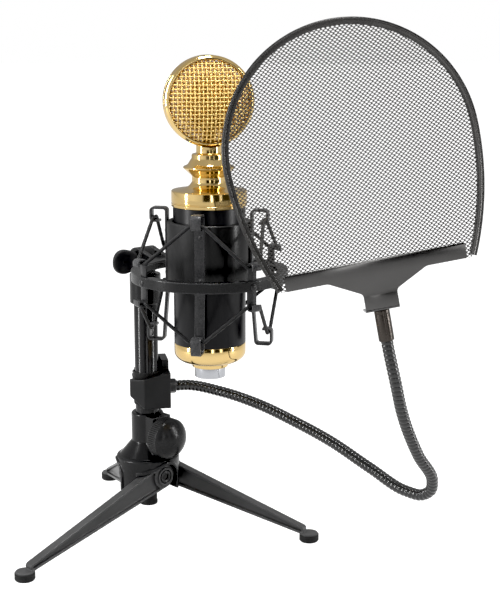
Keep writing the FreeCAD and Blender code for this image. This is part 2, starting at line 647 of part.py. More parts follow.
def filter_screw():
    return ferrule_frame(cyl(FILTER_SCREW_R, -10, PLATE_T + GAP).fuse(
        cyl(3.8, PLATE_T + GAP, PLATE_T + 2.4)).removeSplitter())


# ---------------------------------------------------------------- shock mount
TOWARDS_MIC = radial(ARM_AZIMUTH) * -1


def tilt_frame(shape):
    """Puts a shape at the tilt axis: x towards the microphone, y along the bolt to its head, z up."""
    return placed(shape, Vector(0, 0, TILT_Z), TOWARDS_MIC, UP)


def mount_barrel():
    body = turned([
        (0, BARREL_Z0), (BARREL_R - 0.6, BARREL_Z0), (BARREL_R, BARREL_Z0 + 0.6),
        (BARREL_R, BARREL_Z1 - 0.6), (BARREL_R - 0.6, BARREL_Z1), (0, BARREL_Z1),
    ])
    body = body.cut(cyl(ROD_THREAD_R + RUNNING, BARREL_Z0 - 1, ROD_TOP + 0.4))
    half = EAR_IN - RUNNING
    knuckle = rod_along(EAR_R, Vector(0, -half, 0), Vector(0, half, 0))
    root = block(-6.5, 6.5, -half, half, BARREL_Z1 - TILT_Z - 1, 0)
    knuckle = tilt_frame(fuse(knuckle, root).cut(
        rod_along(BOLT_R + RUNNING, Vector(0, -9, 0), Vector(0, 9, 0))))
    return fuse(body, knuckle)


def tilt_bolt():
    bolt = rod_along(BOLT_R, Vector(0, -EAR_OUT - 12, 0), Vector(0, EAR_OUT, 0))
    corners = [Vector(4.6 * math.cos(math.radians(a)), EAR_OUT, 4.6 * math.sin(math.radians(a)))
               for a in range(0, 361, 60)]
    head = Part.Face(Part.makePolygon(corners)).extrude(Vector(0, 3.2, 0))
    return tilt_frame(fuse(bolt, head))


def tilt_lever():
    """The lever that locks the tilt: a boss on the bolt and a deep wing with a bevelled round end."""
    near, far = -EAR_OUT - GAP, -LEVER_END
    boss = rod_along(6.0, Vector(0, near, 0), Vector(0, near - 7, 0))
    half_h, half_t = LEVER_H / 2, LEVER_T / 2
    root_half = LEVER_ROOT_H / 2
    outline = Part.Wire([
        Part.makeLine(Vector(0, near - 2, root_half), Vector(0, far + half_h, half_h)),
        Part.Arc(Vector(0, far + half_h, half_h), Vector(0, far, 0), Vector(0, far + half_h, -half_h)).toShape(),
        Part.makeLine(Vector(0, far + half_h, -half_h), Vector(0, near - 2, -root_half)),
        Part.makeLine(Vector(0, near - 2, -root_half), Vector(0, near - 2, root_half)),
    ])
    wing = Part.Face(outline).extrude(Vector(LEVER_T, 0, 0))
    wing.translate(Vector(-half_t, 0, 0))
    bevel = [Vector(half_t + 1, far - 1, 0), Vector(half_t + 1, far + half_h + 1, 0), Vector(half_t, far + half_h, 0),
             Vector(-half_t + 2.2, far - 1, 0)]
    bevel = Part.Face(Part.makePolygon(bevel + bevel[:1])).extrude(UP * 40)
    bevel.translate(UP * -20)
    bevel.rotate(Vector(0, far + half_h, 0), Vector(1, 0, 0), -15)
    lever = fuse(boss, wing.cut(bevel))
    return tilt_frame(lever.cut(rod_along(BOLT_R + RUNNING, Vector(0, near + 1, 0), Vector(0, -EAR_OUT - 12.2, 0))))


def post_rivet(azimuth):
    z = (RING_Z0 + RING_Z1 - FLANGE_T) / 2
    start, middle = Vector(POST_R - STRIP_T / 2, 0, z), Vector(RING_R, 0, z)
    rivet = rod_along(RIVET_R, start, middle).fuse(
        rod_along(RIVET_HEAD_R, middle, middle + Vector(0.8, 0, 0)))
    return round_the_mic(rivet.removeSplitter(), azimuth)


def post_strip():
    inner, out = POST_R, POST_OUT_R
    return bent_strip([
        (out, POST_LOW + POST_LIP), (out, POST_LOW), (inner, POST_LOW), (inner, POST_TOP), (out, POST_TOP),
        (out, POST_TOP - POST_LIP),
    ], STRIP_T, STRIP_W, 1.6)


def mount_ring():
    band = tube(RING_R, RING_R - RING_BAND_T, RING_Z0, RING_Z1)
    flange = tube(RING_R, FLANGE_R, RING_Z1 - FLANGE_T, RING_Z1)
    ring = fuse(band, flange)
    ring.translate(MIC_AXIS)
    near = RING_R - 0.8
    arm = block(ARM_LENGTH - near - 10, ARM_LENGTH - near, -EAR_OUT, EAR_OUT,
                RING_Z0 - TILT_Z, RING_Z1 - TILT_Z)
    ears = []
    for side in (-1, 1):
        y0 = side * (EAR_IN + EAR_OUT) / 2 - (EAR_OUT - EAR_IN) / 2
        eye = Part.makeCylinder(EAR_R, EAR_OUT - EAR_IN, Vector(0, y0, 0), Vector(0, 1, 0))
        x1 = ARM_LENGTH - near
        web = [Vector(0, y0, EAR_R), Vector(0, y0, -EAR_R), Vector(x1, y0, RING_Z0 - TILT_Z),
               Vector(x1, y0, RING_Z1 - TILT_Z)]
        cheek = Part.Face(Part.makePolygon(web + web[:1])).extrude(Vector(0, EAR_OUT - EAR_IN, 0))
        ears.append(eye.fuse(cheek))
    arm = fuse(arm, *ears)
    arm = arm.cut(rod_along(BOLT_R, Vector(0, -20, 0), Vector(0, 20, 0)))
    arm = tilt_frame(arm)
    cup = cyl(RING_R - RING_BAND_T, 0, 400)
    cup.translate(MIC_AXIS)
    ring = fuse(ring, arm.cut(cup))
    for azimuth in POST_AZIMUTHS:
        notch = block(FLANGE_R - 1, RING_R - RING_BAND_T, -STRIP_W / 2, STRIP_W / 2, RING_Z0 - 1, RING_Z1 + 1)
        ring = ring.cut(round_the_mic(notch, azimuth))
        z = (RING_Z0 + RING_Z1 - FLANGE_T) / 2
        hole = rod_along(RIVET_R, Vector(RING_R - 4, 0, z), Vector(RING_R, 0, z))
        pocket = rod_along(RIVET_HEAD_R, Vector(RING_R, 0, z), Vector(RING_R + 1.4, 0, z))
        ring = ring.cut(round_the_mic(hole.fuse(pocket), azimuth))
    return ring.removeSplitter()


def ring_posts():
    strips = []
    for azimuth in POST_AZIMUTHS:
        strip = round_the_mic(post_strip(), azimuth)
        band = tube(RING_R + 0.5, RING_R - RING_BAND_T, RING_Z0, RING_Z1)
        band.translate(MIC_AXIS)
        strips.append(strip.cut(post_rivet(azimuth)).cut(band))
    return group(strips)


def post_rivets():
    return group(post_rivet(azimuth) for azimuth in POST_AZIMUTHS)


def cradle_shell(side):
    """One half of the cradle's sleeve, split by a plane through the microphone's axis."""
    shell = turned([
        (SHELL_BORE_R, SHELL_Z0), (SHELL_R - 0.5, SHELL_Z0), (SHELL_R, SHELL_Z0 + 0.5),
        (SHELL_R, SHELL_Z1 - 0.5), (SHELL_R - 0.5, SHELL_Z1), (SHELL_BORE_R, SHELL_Z1),
    ])
    shell = shell.common(block(-40, 40, 0.2, 40, 100, 300) if side > 0 else block(-40, 40, -40, -0.2, 100, 300))
    shell = round_the_mic(shell, SHELL_SEAM_AZIMUTH)
    for azimuth in CRADLE_AZIMUTHS:
        for rivet in cradle_rivet_pair(azimuth):
            shell = shell.cut(rivet)
    return shell


def cradle_rivet_pair(azimuth):
    pair = []
    for z in (SHELL_Z0 + 6, SHELL_Z1 - 7):
        start, middle = Vector(SHELL_BORE_R + 1.4, 1, z), Vector(SHELL_R + STRIP_T, 1, z)
        head = rod_along(RIVET_HEAD_R - 0.7, middle, middle + Vector(0.5, 0, 0))
        rivet = rod_along(RIVET_R - 0.3, start, middle).fuse(head).removeSplitter()
        pair.append(round_the_mic(rivet, azimuth))
    return pair


def cradle_arms():
    middle_r = SHELL_R + STRIP_T / 2
    profile = [
        (HOOK_LOW_R - HOOK_LIP, HOOK_LOW_LIP), (HOOK_LOW_R, HOOK_LOW_LIP), (HOOK_LOW_R, HOOK_LOW),
        (HOOK_LOW_ROOT_R, HOOK_LOW), (middle_r, SPLAY_Z), (middle_r, HOOK_TOP), (HOOK_TOP_R, HOOK_TOP),
        (HOOK_TOP_R, HOOK_TOP_LIP), (HOOK_TOP_R - HOOK_LIP, HOOK_TOP_LIP),
    ]
    arms = []
    for azimuth in CRADLE_AZIMUTHS:
        arm = round_the_mic(bent_strip(profile, STRIP_T, STRIP_W, 2.0), azimuth)
        for rivet in cradle_rivet_pair(azimuth):
            arm = arm.cut(rivet)
        arms.append(arm)
    return group(arms)


def cradle_rivets():
    return group(rivet for azimuth in CRADLE_AZIMUTHS for rivet in cradle_rivet_pair(azimuth))


def cord(hook_r, cradle_z, post_z):
    """One elastic loop, hooked in turn on the cradle's arms and the ring's posts."""
    cradle_r, post_r = hook_r - STRIP_T / 2 - CORD_R - GAP, POST_R + STRIP_T / 2 + CORD_R + GAP
    hooks = sorted([(a % 360, cradle_r, cradle_z) for a in CRADLE_AZIMUTHS]
                   + [(a % 360, post_r, post_z) for a in POST_AZIMUTHS])
    points = []
    for azimuth, radius, z in hooks:
        out, across = radial(azimuth), radial(azimuth + 90)
        middle = MIC_AXIS + out * radius + UP * z
        points += [middle - across * CORD_TURN, middle + across * CORD_TURN]
    pieces = [Part.makeSphere(CORD_R, p) for p in points]
    pieces += [rod_along(CORD_R, p, q) for p, q in zip(points, points[1:] + points[:1])]
    return fuse(pieces[0], *pieces[1:])


def cord_upper():
    seat = STRIP_T / 2 + CORD_R + GAP
    return cord(HOOK_TOP_R, HOOK_TOP_LIP + seat, POST_TOP - seat)


def cord_lower():
    seat = STRIP_T / 2 + CORD_R + GAP
    return cord(HOOK_LOW_R, HOOK_LOW_LIP - seat, POST_LOW + seat)


# ---------------------------------------------------------------- microphone
def on_mic(shape):
    moved = shape.copy()
    moved.translate(MIC_AXIS)
    return moved


def head_frame(shape):
    """Puts a shape drawn about +z at the head's middle, with +z out of its front face."""
    return placed(shape, MIC_AXIS + UP * HEAD_Z, UP, radial(HEAD_AZIMUTH))


def body_tube():
    return on_mic(tube(TUBE_R, TUBE_BORE_R, TUBE_Z0, TUBE_Z1))


def bottom_cap():
    steps = 10
    bowl = []
    for k in range(steps + 1):
        angle = math.radians(90 * k / steps)
        bowl.append((CAP_STEP_R + (CAP_R - CAP_STEP_R) * math.sin(angle),
                     CAP_STRAIGHT_Z - (CAP_STRAIGHT_Z - CAP_Z0) * math.cos(angle)))
    profile = [(PLUG_SHELL_R - 0.6, CAP_STEP_Z), (CAP_STEP_R - 0.4, CAP_STEP_Z),
               (CAP_STEP_R, CAP_STEP_Z + 0.4)] + bowl
    profile += [(CAP_R, TUBE_Z0), (TUBE_BORE_R - 0.05, TUBE_Z0), (TUBE_BORE_R - 0.05, TUBE_Z0 + 3.5),
                (TUBE_BORE_R - 1.6, TUBE_Z0 + 3.5), (TUBE_BORE_R - 1.6, CAP_STRAIGHT_Z),
                (PLUG_SHELL_R + 2, CAP_Z0 + 2), (PLUG_SHELL_R - 0.6, CAP_Z0 + 2)]
    return on_mic(turned(profile))


def connector_shell():
    neck = PLUG_SHELL_R - 0.6
    return on_mic(turned([
        (PLUG_SHELL_BORE_R + 0.4, PLUG_SHELL_Z0), (PLUG_SHELL_R - 0.2, PLUG_SHELL_Z0),
        (PLUG_SHELL_R, PLUG_SHELL_Z0 + 0.2), (PLUG_SHELL_R, CAP_STEP_Z), (neck, CAP_STEP_Z),
        (neck, CAP_Z0 + 4), (PLUG_SHELL_BORE_R, CAP_Z0 + 4), (PLUG_SHELL_BORE_R, PLUG_SHELL_Z0 + 0.4),
    ]))


def pin_points():
    return [MIC_AXIS + radial(a) * PIN_CIRCLE_R for a in (0, 120, 240)]


def connector_pins():
    pins = []
    for at in pin_points():
        pin = fuse(cyl(PIN_R, PLUG_SHELL_Z0 + 2.2, CAP_Z0 + 6), Part.makeSphere(PIN_R, Vector(0, 0, PLUG_SHELL_Z0 + 2.2)))
        pin.translate(at)
        pins.append(pin)
    return group(pins)


def connector_insert():
    insert = on_mic(cyl(PLUG_SHELL_BORE_R, CAP_Z0 - 1, CAP_Z0 + 4))
    for at in pin_points():
        hole = cyl(PIN_R, 100, 200)
        hole.translate(at)
        insert = insert.cut(hole)
    return insert


def top_collar():
    return on_mic(turned([
        (NECK_BORE_R, WAIST_Z0 - 2.5), (WAIST_R - 3, WAIST_Z0 - 2.5), (TUBE_BORE_R - 2, COLLAR_TOP - 2.5),
        (TUBE_BORE_R - 2, TUBE_Z1 - 4), (TUBE_BORE_R - 0.05, TUBE_Z1 - 4), (TUBE_BORE_R - 0.05, TUBE_Z1),
        (COLLAR_R - 0.3, TUBE_Z1), (COLLAR_R, TUBE_Z1 + 0.3), (COLLAR_R, COLLAR_TOP - 0.5),
        (COLLAR_R - 0.5, COLLAR_TOP), (COLLAR_R - 6.0, COLLAR_TOP + 0.9), (WAIST_R + 2.6, WAIST_Z0 - 3.2),
        (WAIST_R + 0.8, WAIST_Z0 - 1.2),
        (WAIST_R, WAIST_Z0), (WAIST_R, WAIST_Z1), (NECK_BORE_R, WAIST_Z1),
    ]))


def head_neck():
    neck = turned([
        (NECK_BORE_R, WAIST_Z1), (WAIST_R, WAIST_Z1), (WAIST_R + 1.0, WAIST_Z1 + 1.6),
        (LIP_R - 0.9, LIP_Z - 1.0), (LIP_R, LIP_Z), (LIP_R - 0.9, LIP_Z + 0.8), (LIP_R - 2.6, LIP_Z + 1.4),
        (SHOULDER_R + 1.2, SHOULDER_Z0 - 1.2), (SHOULDER_R, SHOULDER_Z0), (SHOULDER_R, SHOULDER_Z1 - 0.6),
        (SHOULDER_R - 0.8, SHOULDER_Z1), (NECK_R, SHOULDER_Z1 + 0.4), (NECK_R, NECK_TOP), (NECK_BORE_R, NECK_TOP),
    ])
    return on_mic(neck).cut(head_frame(cyl(HEAD_R, -40, 40)))


def head_rim():
    rim = turned([
        (HEAD_BORE_R, -HEAD_HALF_T), (HEAD_R - 1.0, -HEAD_HALF_T), (HEAD_R, -HEAD_HALF_T + 1.0),
        (HEAD_R, HEAD_HALF_T - 1.0), (HEAD_R - 1.0, HEAD_HALF_T), (HEAD_BORE_R, HEAD_HALF_T),
    ])
    hole = on_mic(cyl(NECK_BORE_R, HEAD_Z - HEAD_R - 2, HEAD_Z - HEAD_BORE_R + 2))
    return head_frame(rim).cut(hole)


def grille(side):
    """A shallow dome of mesh, drawn as a thin shell with its edge inside the rim."""
    edge_r, edge_n = HEAD_BORE_R, HEAD_HALF_T - 1.0
    ball_r = (edge_r ** 2 + GRILLE_BULGE ** 2) / (2 * GRILLE_BULGE)
    centre = Vector(0, 0, edge_n + GRILLE_BULGE - ball_r)
    dome = Part.makeSphere(ball_r, centre).cut(Part.makeSphere(ball_r - GRILLE_T, centre))
    dome = dome.common(cyl(edge_r, edge_n - GRILLE_T, edge_n + GRILLE_BULGE + 1))
    if side < 0:
        dome.rotate(Vector(0, 0, 0), Vector(1, 0, 0), 180)
    return head_frame(dome)


def capsule():
    half = CAPSULE_T / 2
    return head_frame(turned([
        (0, -half), (CAPSULE_R - 2, -half), (CAPSULE_R - 2, -half + 0.5), (CAPSULE_R, -half + 0.5),
        (CAPSULE_R, half - 0.5), (CAPSULE_R - 2, half - 0.5), (CAPSULE_R - 2, half), (0, half),
    ]))


def capsule_saddle():
    foot = HEAD_Z - CAPSULE_R
    post = on_mic(cyl(NECK_BORE_R, WAIST_Z1 + 4, foot - 2))
    cradle = head_frame(block(-CAPSULE_R - 3, -CAPSULE_R + 4, -7, 7, -5.2, 5.2).cut(cyl(CAPSULE_R, -6, 6)))
    return fuse(post, cradle)


def chassis_frame():
    low, high = TUBE_Z0 + 4.0, TUBE_Z1 - 4.5
    plates = [cyl(TUBE_BORE_R - 0.2, low, low + 2).cut(cyl(9.5, low, low + 2)),
              cyl(TUBE_BORE_R - 0.2, high - 2, high).cut(cyl(4, high - 2, high))]
    rails = [block(x - 1.5, x + 1.5, 0, 4, low, high) for x in (-16.5, 16.5)]
    return on_mic(fuse(plates[0], plates[1], *rails))


def circuit_board():
    low, high = TUBE_Z0 + 7.0, TUBE_Z1 - 7.5
    board = block(-18, 18, -1.6, 0, low, high)
    parts = [Part.makeCylinder(4.2, 9, Vector(-8, -1.6, low + 16), Vector(0, -1, 0)),
             Part.makeCylinder(4.2, 9, Vector(5, -1.6, low + 16), Vector(0, -1, 0)),
             Part.makeCylinder(3.2, 7, Vector(-9, -1.6, low + 32), Vector(0, -1, 0)),
             block(0, 12, -6, -1.6, low + 30, low + 44),
             block(-11, 9, -12, -1.6, low + 52, low + 68)]
    return on_mic(fuse(board, *parts))


# ---------------------------------------------------------------- the model
PIECES = {
    "hub": hub,
    "leg_screws": leg_screws,
    "height_screw": height_screw,
    "height_pad": height_pad,
    "height_knob": height_knob,
    "rod": rod,
    "rod_plug": rod_plug,
    "clamp_sleeve": clamp_sleeve,
    "clamp_body": clamp_body,
    "clamp_screw": clamp_screw,
    "clamp_pad": clamp_pad,
    "clamp_knob": clamp_knob,
    "hose_nut": hose_nut,
    "hose_root": hose_root,
    "hose_ferrule": hose_ferrule,
    "filter_screw": filter_screw,
    "filter_rim": filter_rim,
    "filter_mesh": filter_mesh,
    "filter_bracket": filter_bracket,
    "filter_back_strip": filter_back_strip,
    "mount_barrel": mount_barrel,
    "mount_ring": mount_ring,
    "tilt_bolt": tilt_bolt,
    "tilt_lever": tilt_lever,
    "ring_posts": ring_posts,
    "post_rivets": post_rivets,
    "cradle_arms": cradle_arms,
    "cradle_rivets": cradle_rivets,
    "cord_upper": cord_upper,
    "cord_lower": cord_lower,
    "body_tube": body_tube,
    "bottom_cap": bottom_cap,
    "connector_shell": connector_shell,
    "connector_insert": connector_insert,
    "connector_pins": connector_pins,
    "top_collar": top_collar,
    "head_neck": head_neck,
    "head_rim": head_rim,
    "capsule": capsule,
    "capsule_saddle": capsule_saddle,
    "chassis_frame": chassis_frame,
    "circuit_board": circuit_board,
}
for letter, screw_azimuth in zip("abc", LEG_AZIMUTHS):
    PIECES["leg_" + letter] = lambda azimuth=screw_azimuth: leg_frame(leg(), azimuth)
    PIECES["foot_" + letter] = lambda azimuth=screw_azimuth: leg_frame(foot(), azimuth)
for number in (1, 2, 3, 4):
    PIECES[f"hose_{number}"] = lambda n=number: hose_length(n)
for word, which in (("left", -1), ("right", 1)):
    PIECES["cradle_shell_" + word] = lambda s=which: cradle_shell(s)
for word, which in (("front", 1), ("back", -1)):
    PIECES["grille_" + word] = lambda s=which: grille(s)


def write_parts():
    os.makedirs("parts", exist_ok=True)
    for name, make in PIECES.items():
        shape = make()
        shape.translate(ROD_AXIS_AT)
        shape.exportStep(f"parts/{name}.step")


write_parts()
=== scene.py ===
"""Looks of the studio microphone with its shock mount, pop filter and folding table tripod.

Lengths are millimetres in the helpers and turn into metres when a mesh is made. Everything is built
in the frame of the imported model, at the places of the nodes it stands for.
"""
import math

import bmesh
import bpy
from mathutils import Matrix, Vector
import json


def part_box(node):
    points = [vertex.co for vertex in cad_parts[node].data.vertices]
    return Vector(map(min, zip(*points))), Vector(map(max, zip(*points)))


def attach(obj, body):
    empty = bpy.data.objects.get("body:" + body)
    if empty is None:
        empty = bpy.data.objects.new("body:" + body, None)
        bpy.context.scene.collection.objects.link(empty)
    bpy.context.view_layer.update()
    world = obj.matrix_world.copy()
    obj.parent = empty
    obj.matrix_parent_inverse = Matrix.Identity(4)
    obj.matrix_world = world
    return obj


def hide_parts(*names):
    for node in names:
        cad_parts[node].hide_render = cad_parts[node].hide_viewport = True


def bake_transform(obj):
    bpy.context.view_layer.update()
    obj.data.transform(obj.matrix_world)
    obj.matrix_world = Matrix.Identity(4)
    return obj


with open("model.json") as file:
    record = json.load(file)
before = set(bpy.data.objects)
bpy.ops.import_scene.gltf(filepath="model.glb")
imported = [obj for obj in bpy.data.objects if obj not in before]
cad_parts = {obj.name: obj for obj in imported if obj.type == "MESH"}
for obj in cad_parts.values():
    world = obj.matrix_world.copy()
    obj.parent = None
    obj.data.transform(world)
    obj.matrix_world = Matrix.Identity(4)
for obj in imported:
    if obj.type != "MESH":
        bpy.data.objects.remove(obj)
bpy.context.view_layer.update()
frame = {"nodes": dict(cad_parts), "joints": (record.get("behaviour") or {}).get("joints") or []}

MM = 0.001
UP = Vector((0, 0, 1))


# ---- places, from the frame
def node_box(node):
    """Lowest and highest corner of a node, in millimetres."""
    low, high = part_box(node)
    return low / MM, high / MM


def node_middle(*nodes):
    low = Vector([min(node_box(n)[0][i] for n in nodes) for i in range(3)])
    high = Vector([max(node_box(n)[1][i] for n in nodes) for i in range(3)])
    return (low + high) / 2


def joint(name):
    return next(j for j in frame["joints"] if j["name"] == name)


def joint_at(name):
    return Vector(joint(name)["pos_m"]) / MM


def joint_axis(name):
    return Vector(joint(name)["axis"])


def azimuth_dir(azimuth):
    """The direction at an azimuth that runs from -Y towards +X."""
    angle = math.radians(azimuth)
    return Vector((math.sin(angle), -math.cos(angle), 0))


ROD = node_middle("rod")
ROD.z = 0
MIC = node_middle("body_tube")
MIC.z = 0
HEAD_AZIMUTH = 12
POST_AZIMUTHS = (-56, 34, 124, -146)
CRADLE_AZIMUTHS = (-11, 79, 169, -101)
SEAM_AZIMUTH = -5
CLAMP_YAW = math.radians(10)
CLAMP_SIDE = Vector((math.cos(CLAMP_YAW), math.sin(CLAMP_YAW), 0))


# ---- mesh helpers
def frame_of(origin, x_dir, z_dir):
    """The matrix from a piece's own frame, in millimetres, to the row frame, in millimetres."""
    z = Vector(z_dir).normalized()
    x = (Vector(x_dir) - z * Vector(x_dir).dot(z)).normalized()
    y = z.cross(x)
    matrix = Matrix((x, y, z)).transposed().to_4x4()
    matrix.translation = Vector(origin)
    return matrix


def put_in_scene(name, data):
    thing = bpy.data.objects.new(name, data)
    bpy.context.scene.collection.objects.link(thing)
    return thing


def make(name, verts, faces, body, slot, material, stands_for=(), place=None, sharp=35, bevel=0.0):
    """Makes one piece from vertices in millimetres and lets it ride on a body."""
    place = place or Matrix.Identity(4)
    mesh = bpy.data.meshes.new(name)
    mesh.from_pydata([(place @ Vector(v)) * MM for v in verts], [], faces)
    bm = bmesh.new()
    bm.from_mesh(mesh)
    bmesh.ops.remove_doubles(bm, verts=bm.verts, dist=1e-6)
    bmesh.ops.dissolve_degenerate(bm, edges=bm.edges, dist=1e-7)
    bmesh.ops.recalc_face_normals(bm, faces=bm.faces)
    if bevel:
        corners = [e for e in bm.edges if len(e.link_faces) == 2 and e.calc_face_angle() > math.radians(sharp)]
        bmesh.ops.bevel(bm, geom=corners, offset=bevel * MM, segments=2, profile=0.6, affect="EDGES",
                        clamp_overlap=True)
    bm.to_mesh(mesh)
    bm.free()
    mesh.shade_smooth()
    mesh.set_sharp_from_angle(angle=math.radians(sharp if not bevel else 60))
    piece = put_in_scene(name, mesh)
    finish_piece(piece, body, material, stands_for)
    return piece


def finish_piece(piece, body, material, stands_for=()):
    piece.data.materials.clear()
    piece.data.materials.append(M[material])
    if body:
        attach(piece, body)
    if stands_for:
        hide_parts(*stands_for)


def merged(*meshes):
    """Several (verts, faces) pairs as one."""
    verts, faces = [], []
    for v, f in meshes:
        start = len(verts)
        verts += list(v)
        faces += [tuple(i + start for i in face) for face in f]
    return verts, faces


def moved(mesh, place):
    verts, faces = mesh
    return [place @ Vector(v) for v in verts], faces


def corner_arc(before, here, after, radius, steps):
    """The points round a corner, or the corner itself where there is nothing to round."""
    into, out = before - here, after - here
    reach = min(into.length, out.length) * 0.48
    if radius <= 0 or reach < 1e-6:
        return [here]
    into.normalize()
    out.normalize()
    half = into.angle(out) / 2
    if half > math.radians(88):
        return [here]
    back = min(radius / math.tan(half), reach)
    real = back * math.tan(half)
    middle = here + (into + out).normalized() * (real / math.sin(half))
    start, end = here + into * back - middle, here + out * back - middle
    return [middle + start.lerp(end, k / steps).normalized() * real for k in range(steps + 1)]


def rounded(points, radius, steps=4):
    """A closed outline with every corner rounded. A radius is one number or one per corner."""
    corners = [Vector(p) for p in points]
    radii = radius if isinstance(radius, (list, tuple)) else [radius] * len(corners)
    outline = []
    for before, here, after, bend in zip(corners[-1:] + corners, corners, corners[1:] + corners[:1], radii):
        outline += corner_arc(before, here, after, bend, steps)
    return [tuple(p) for p in outline]


def bent_path(points, bend, steps=5):
    """An open path of (radius, z) points with its inner corners rounded, as points in y = 0."""
    corners = [Vector(p) for p in points]
    path = corners[:1]
    for before, here, after in zip(corners, corners[1:], corners[2:]):
        path += corner_arc(before, here, after, bend, steps)
    return [Vector((r, 0, z)) for r, z in path + corners[-1:]]


def skin(rings, width, closed=False):
    """The faces over a row of rings of points, with a cap at each end of an open row."""
    faces = []
    for i in range(rings if closed else rings - 1):
        a, b = i * width, ((i + 1) % rings) * width
        faces += [(a + k, a + (k + 1) % width, b + (k + 1) % width, b + k) for k in range(width)]
    if not closed:
        faces += [tuple(reversed(range(width))), tuple((rings - 1) * width + k for k in range(width))]
    return faces


def revolve(profile, steps=96, shape=None, span=None):
    """Turns a closed (radius, z) profile about z. shape(angle, radius, z) may change the radius."""
    if span is None:
        angles = [math.tau * k / steps for k in range(steps)]
    else:
        angles = [math.radians(span[0] + (span[1] - span[0]) * k / steps) for k in range(steps + 1)]
    verts = []
    for angle in angles:
        for r, z in profile:
            radius = shape(angle, r, z) if shape else r
            verts.append((radius * math.cos(angle), radius * math.sin(angle), z))
    return verts, skin(len(angles), len(profile), closed=span is None)


def plate(outline, z0, z1):
    """A flat plate from a closed outline of (x, y) points."""
    count = len(outline)
    verts = [(x, y, z0) for x, y in outline] + [(x, y, z1) for x, y in outline]
    faces = [tuple(reversed(range(count))), tuple(range(count, 2 * count))]
    faces += [(i, (i + 1) % count, count + (i + 1) % count, count + i) for i in range(count)]
    return verts, faces


def sweep(path, section, closed=False, normal=None, size=None):
    """Carries a closed section of (across, out) offsets along a path of points.

    A fixed normal keeps the section's first axis along it, and otherwise the section is carried
    without twist. size(index, angle) scales each ring's points.
    """
    points = [Vector(p) for p in path]
    count, width = len(points), len(section)
    tangents = []
    for i in range(count):
        if closed:
            along = points[(i + 1) % count] - points[i - 1]
        else:
            along = points[min(i + 1, count - 1)] - points[max(i - 1, 0)]
        tangents.append(along.normalized())
    across = Vector(normal) if normal else tangents[0].orthogonal()
    verts = []
    for i, (point, along) in enumerate(zip(points, tangents)):
        if normal is None:
            across = across - along * across.dot(along)
        across = across.normalized()
        out = along.cross(across).normalized()
        for k, (a, b) in enumerate(section):
            scale = size(i, math.tau * k / width) if size else 1
            verts.append(point + across * (a * scale) + out * (b * scale))
    return verts, skin(count, width, closed)


def circle(radius, sides):
    return [(radius * math.cos(math.tau * k / sides), radius * math.sin(math.tau * k / sides))
            for k in range(sides)]


def bar_section(width, thick, corner):
    """A rounded rectangle, width along the first axis."""
    a, b = width / 2, thick / 2
    return rounded([(-a, -b), (a, -b), (a, b), (-a, b)], corner, 2)


def soften(node, name, body, material, voxel, smooth, trim=0.0):
    """A copy of a CAD node remeshed in fine voxels, so that its edges are cast-metal soft.

    trim draws the surface in by that much, so that it keeps clear of its neighbours as it moves.
    """
    piece = bpy.data.objects.new(name, frame["nodes"][node].data.copy())
    bpy.context.scene.collection.objects.link(piece)
    weld = piece.modifiers.new("weld", "WELD")
    weld.merge_threshold = 1e-6
    grid = piece.modifiers.new("grid", "REMESH")
    grid.mode = "VOXEL"
    grid.voxel_size = voxel * MM * 1
    ease = piece.modifiers.new("ease", "SMOOTH")
    ease.factor = 0.5
    ease.iterations = smooth
    skin = piece.modifiers.new("skin", "DISPLACE")
    skin.mid_level = 0
    skin.strength = -trim * MM
    depsgraph = bpy.context.evaluated_depsgraph_get()
    mesh = bpy.data.meshes.new_from_object(piece.evaluated_get(depsgraph))
    piece.modifiers.clear()
    piece.data = mesh
    mesh.shade_smooth()
    finish_piece(piece, body, material, (node,))
    return piece


def on_mic(azimuth=0, z=0):
    """Frame about the microphone's axis with +x outwards at an azimuth."""
    return frame_of(MIC + UP * z, azimuth_dir(azimuth), UP)


def round_mic(mesh, azimuths):
    """Copies of a mesh at azimuths round the microphone, as one."""
    return merged(*[moved(mesh, on_mic(azimuth)) for azimuth in azimuths])


def beside_rod(name):
    """Frame at a joint's height on the rod's axis, with z along the joint's axis."""
    return frame_of(ROD + UP * joint_at(name).z, UP, joint_axis(name))


# ---- materials
class Nodes:
    """A short way to write a node tree."""

    def __init__(self, owner):
        owner.use_nodes = True
        self.tree = owner.node_tree

    def add(self, kind, **settings):
        node = self.tree.nodes.new(kind)
        for key, value in settings.items():
            setattr(node, key, value)
        return node

    def plug(self, value, socket):
        """Puts a number, a colour or another node's output into a socket."""
        if isinstance(value, (int, float)):
            socket.default_value = value
        elif isinstance(value, tuple):
            socket.default_value = (*value, 1)
        else:
            self.tree.links.new(value, socket)

    def calculate(self, operation, a, b):
        node = self.add("ShaderNodeMath", operation=operation)
        self.plug(a, node.inputs[0])
        self.plug(b, node.inputs[1])
        return node.outputs[0]

    def times(self, a, b):
        return self.calculate("MULTIPLY", a, b)

    def remap(self, value, low, high, to_low=0.0, to_high=1.0):
        node = self.add("ShaderNodeMapRange")
        for limit, name in ((low, "From Min"), (high, "From Max"), (to_low, "To Min"), (to_high, "To Max")):
            node.inputs[name].default_value = limit
        self.plug(value, node.inputs["Value"])
        return node.outputs["Result"]

    def blend(self, factor, first, second):
        """A colour between two, by a factor."""
        node = self.add("ShaderNodeMix", data_type="RGBA")
        for value, index in ((factor, 0), (first, 6), (second, 7)):
            self.plug(value, node.inputs[index])
        return node.outputs[2]


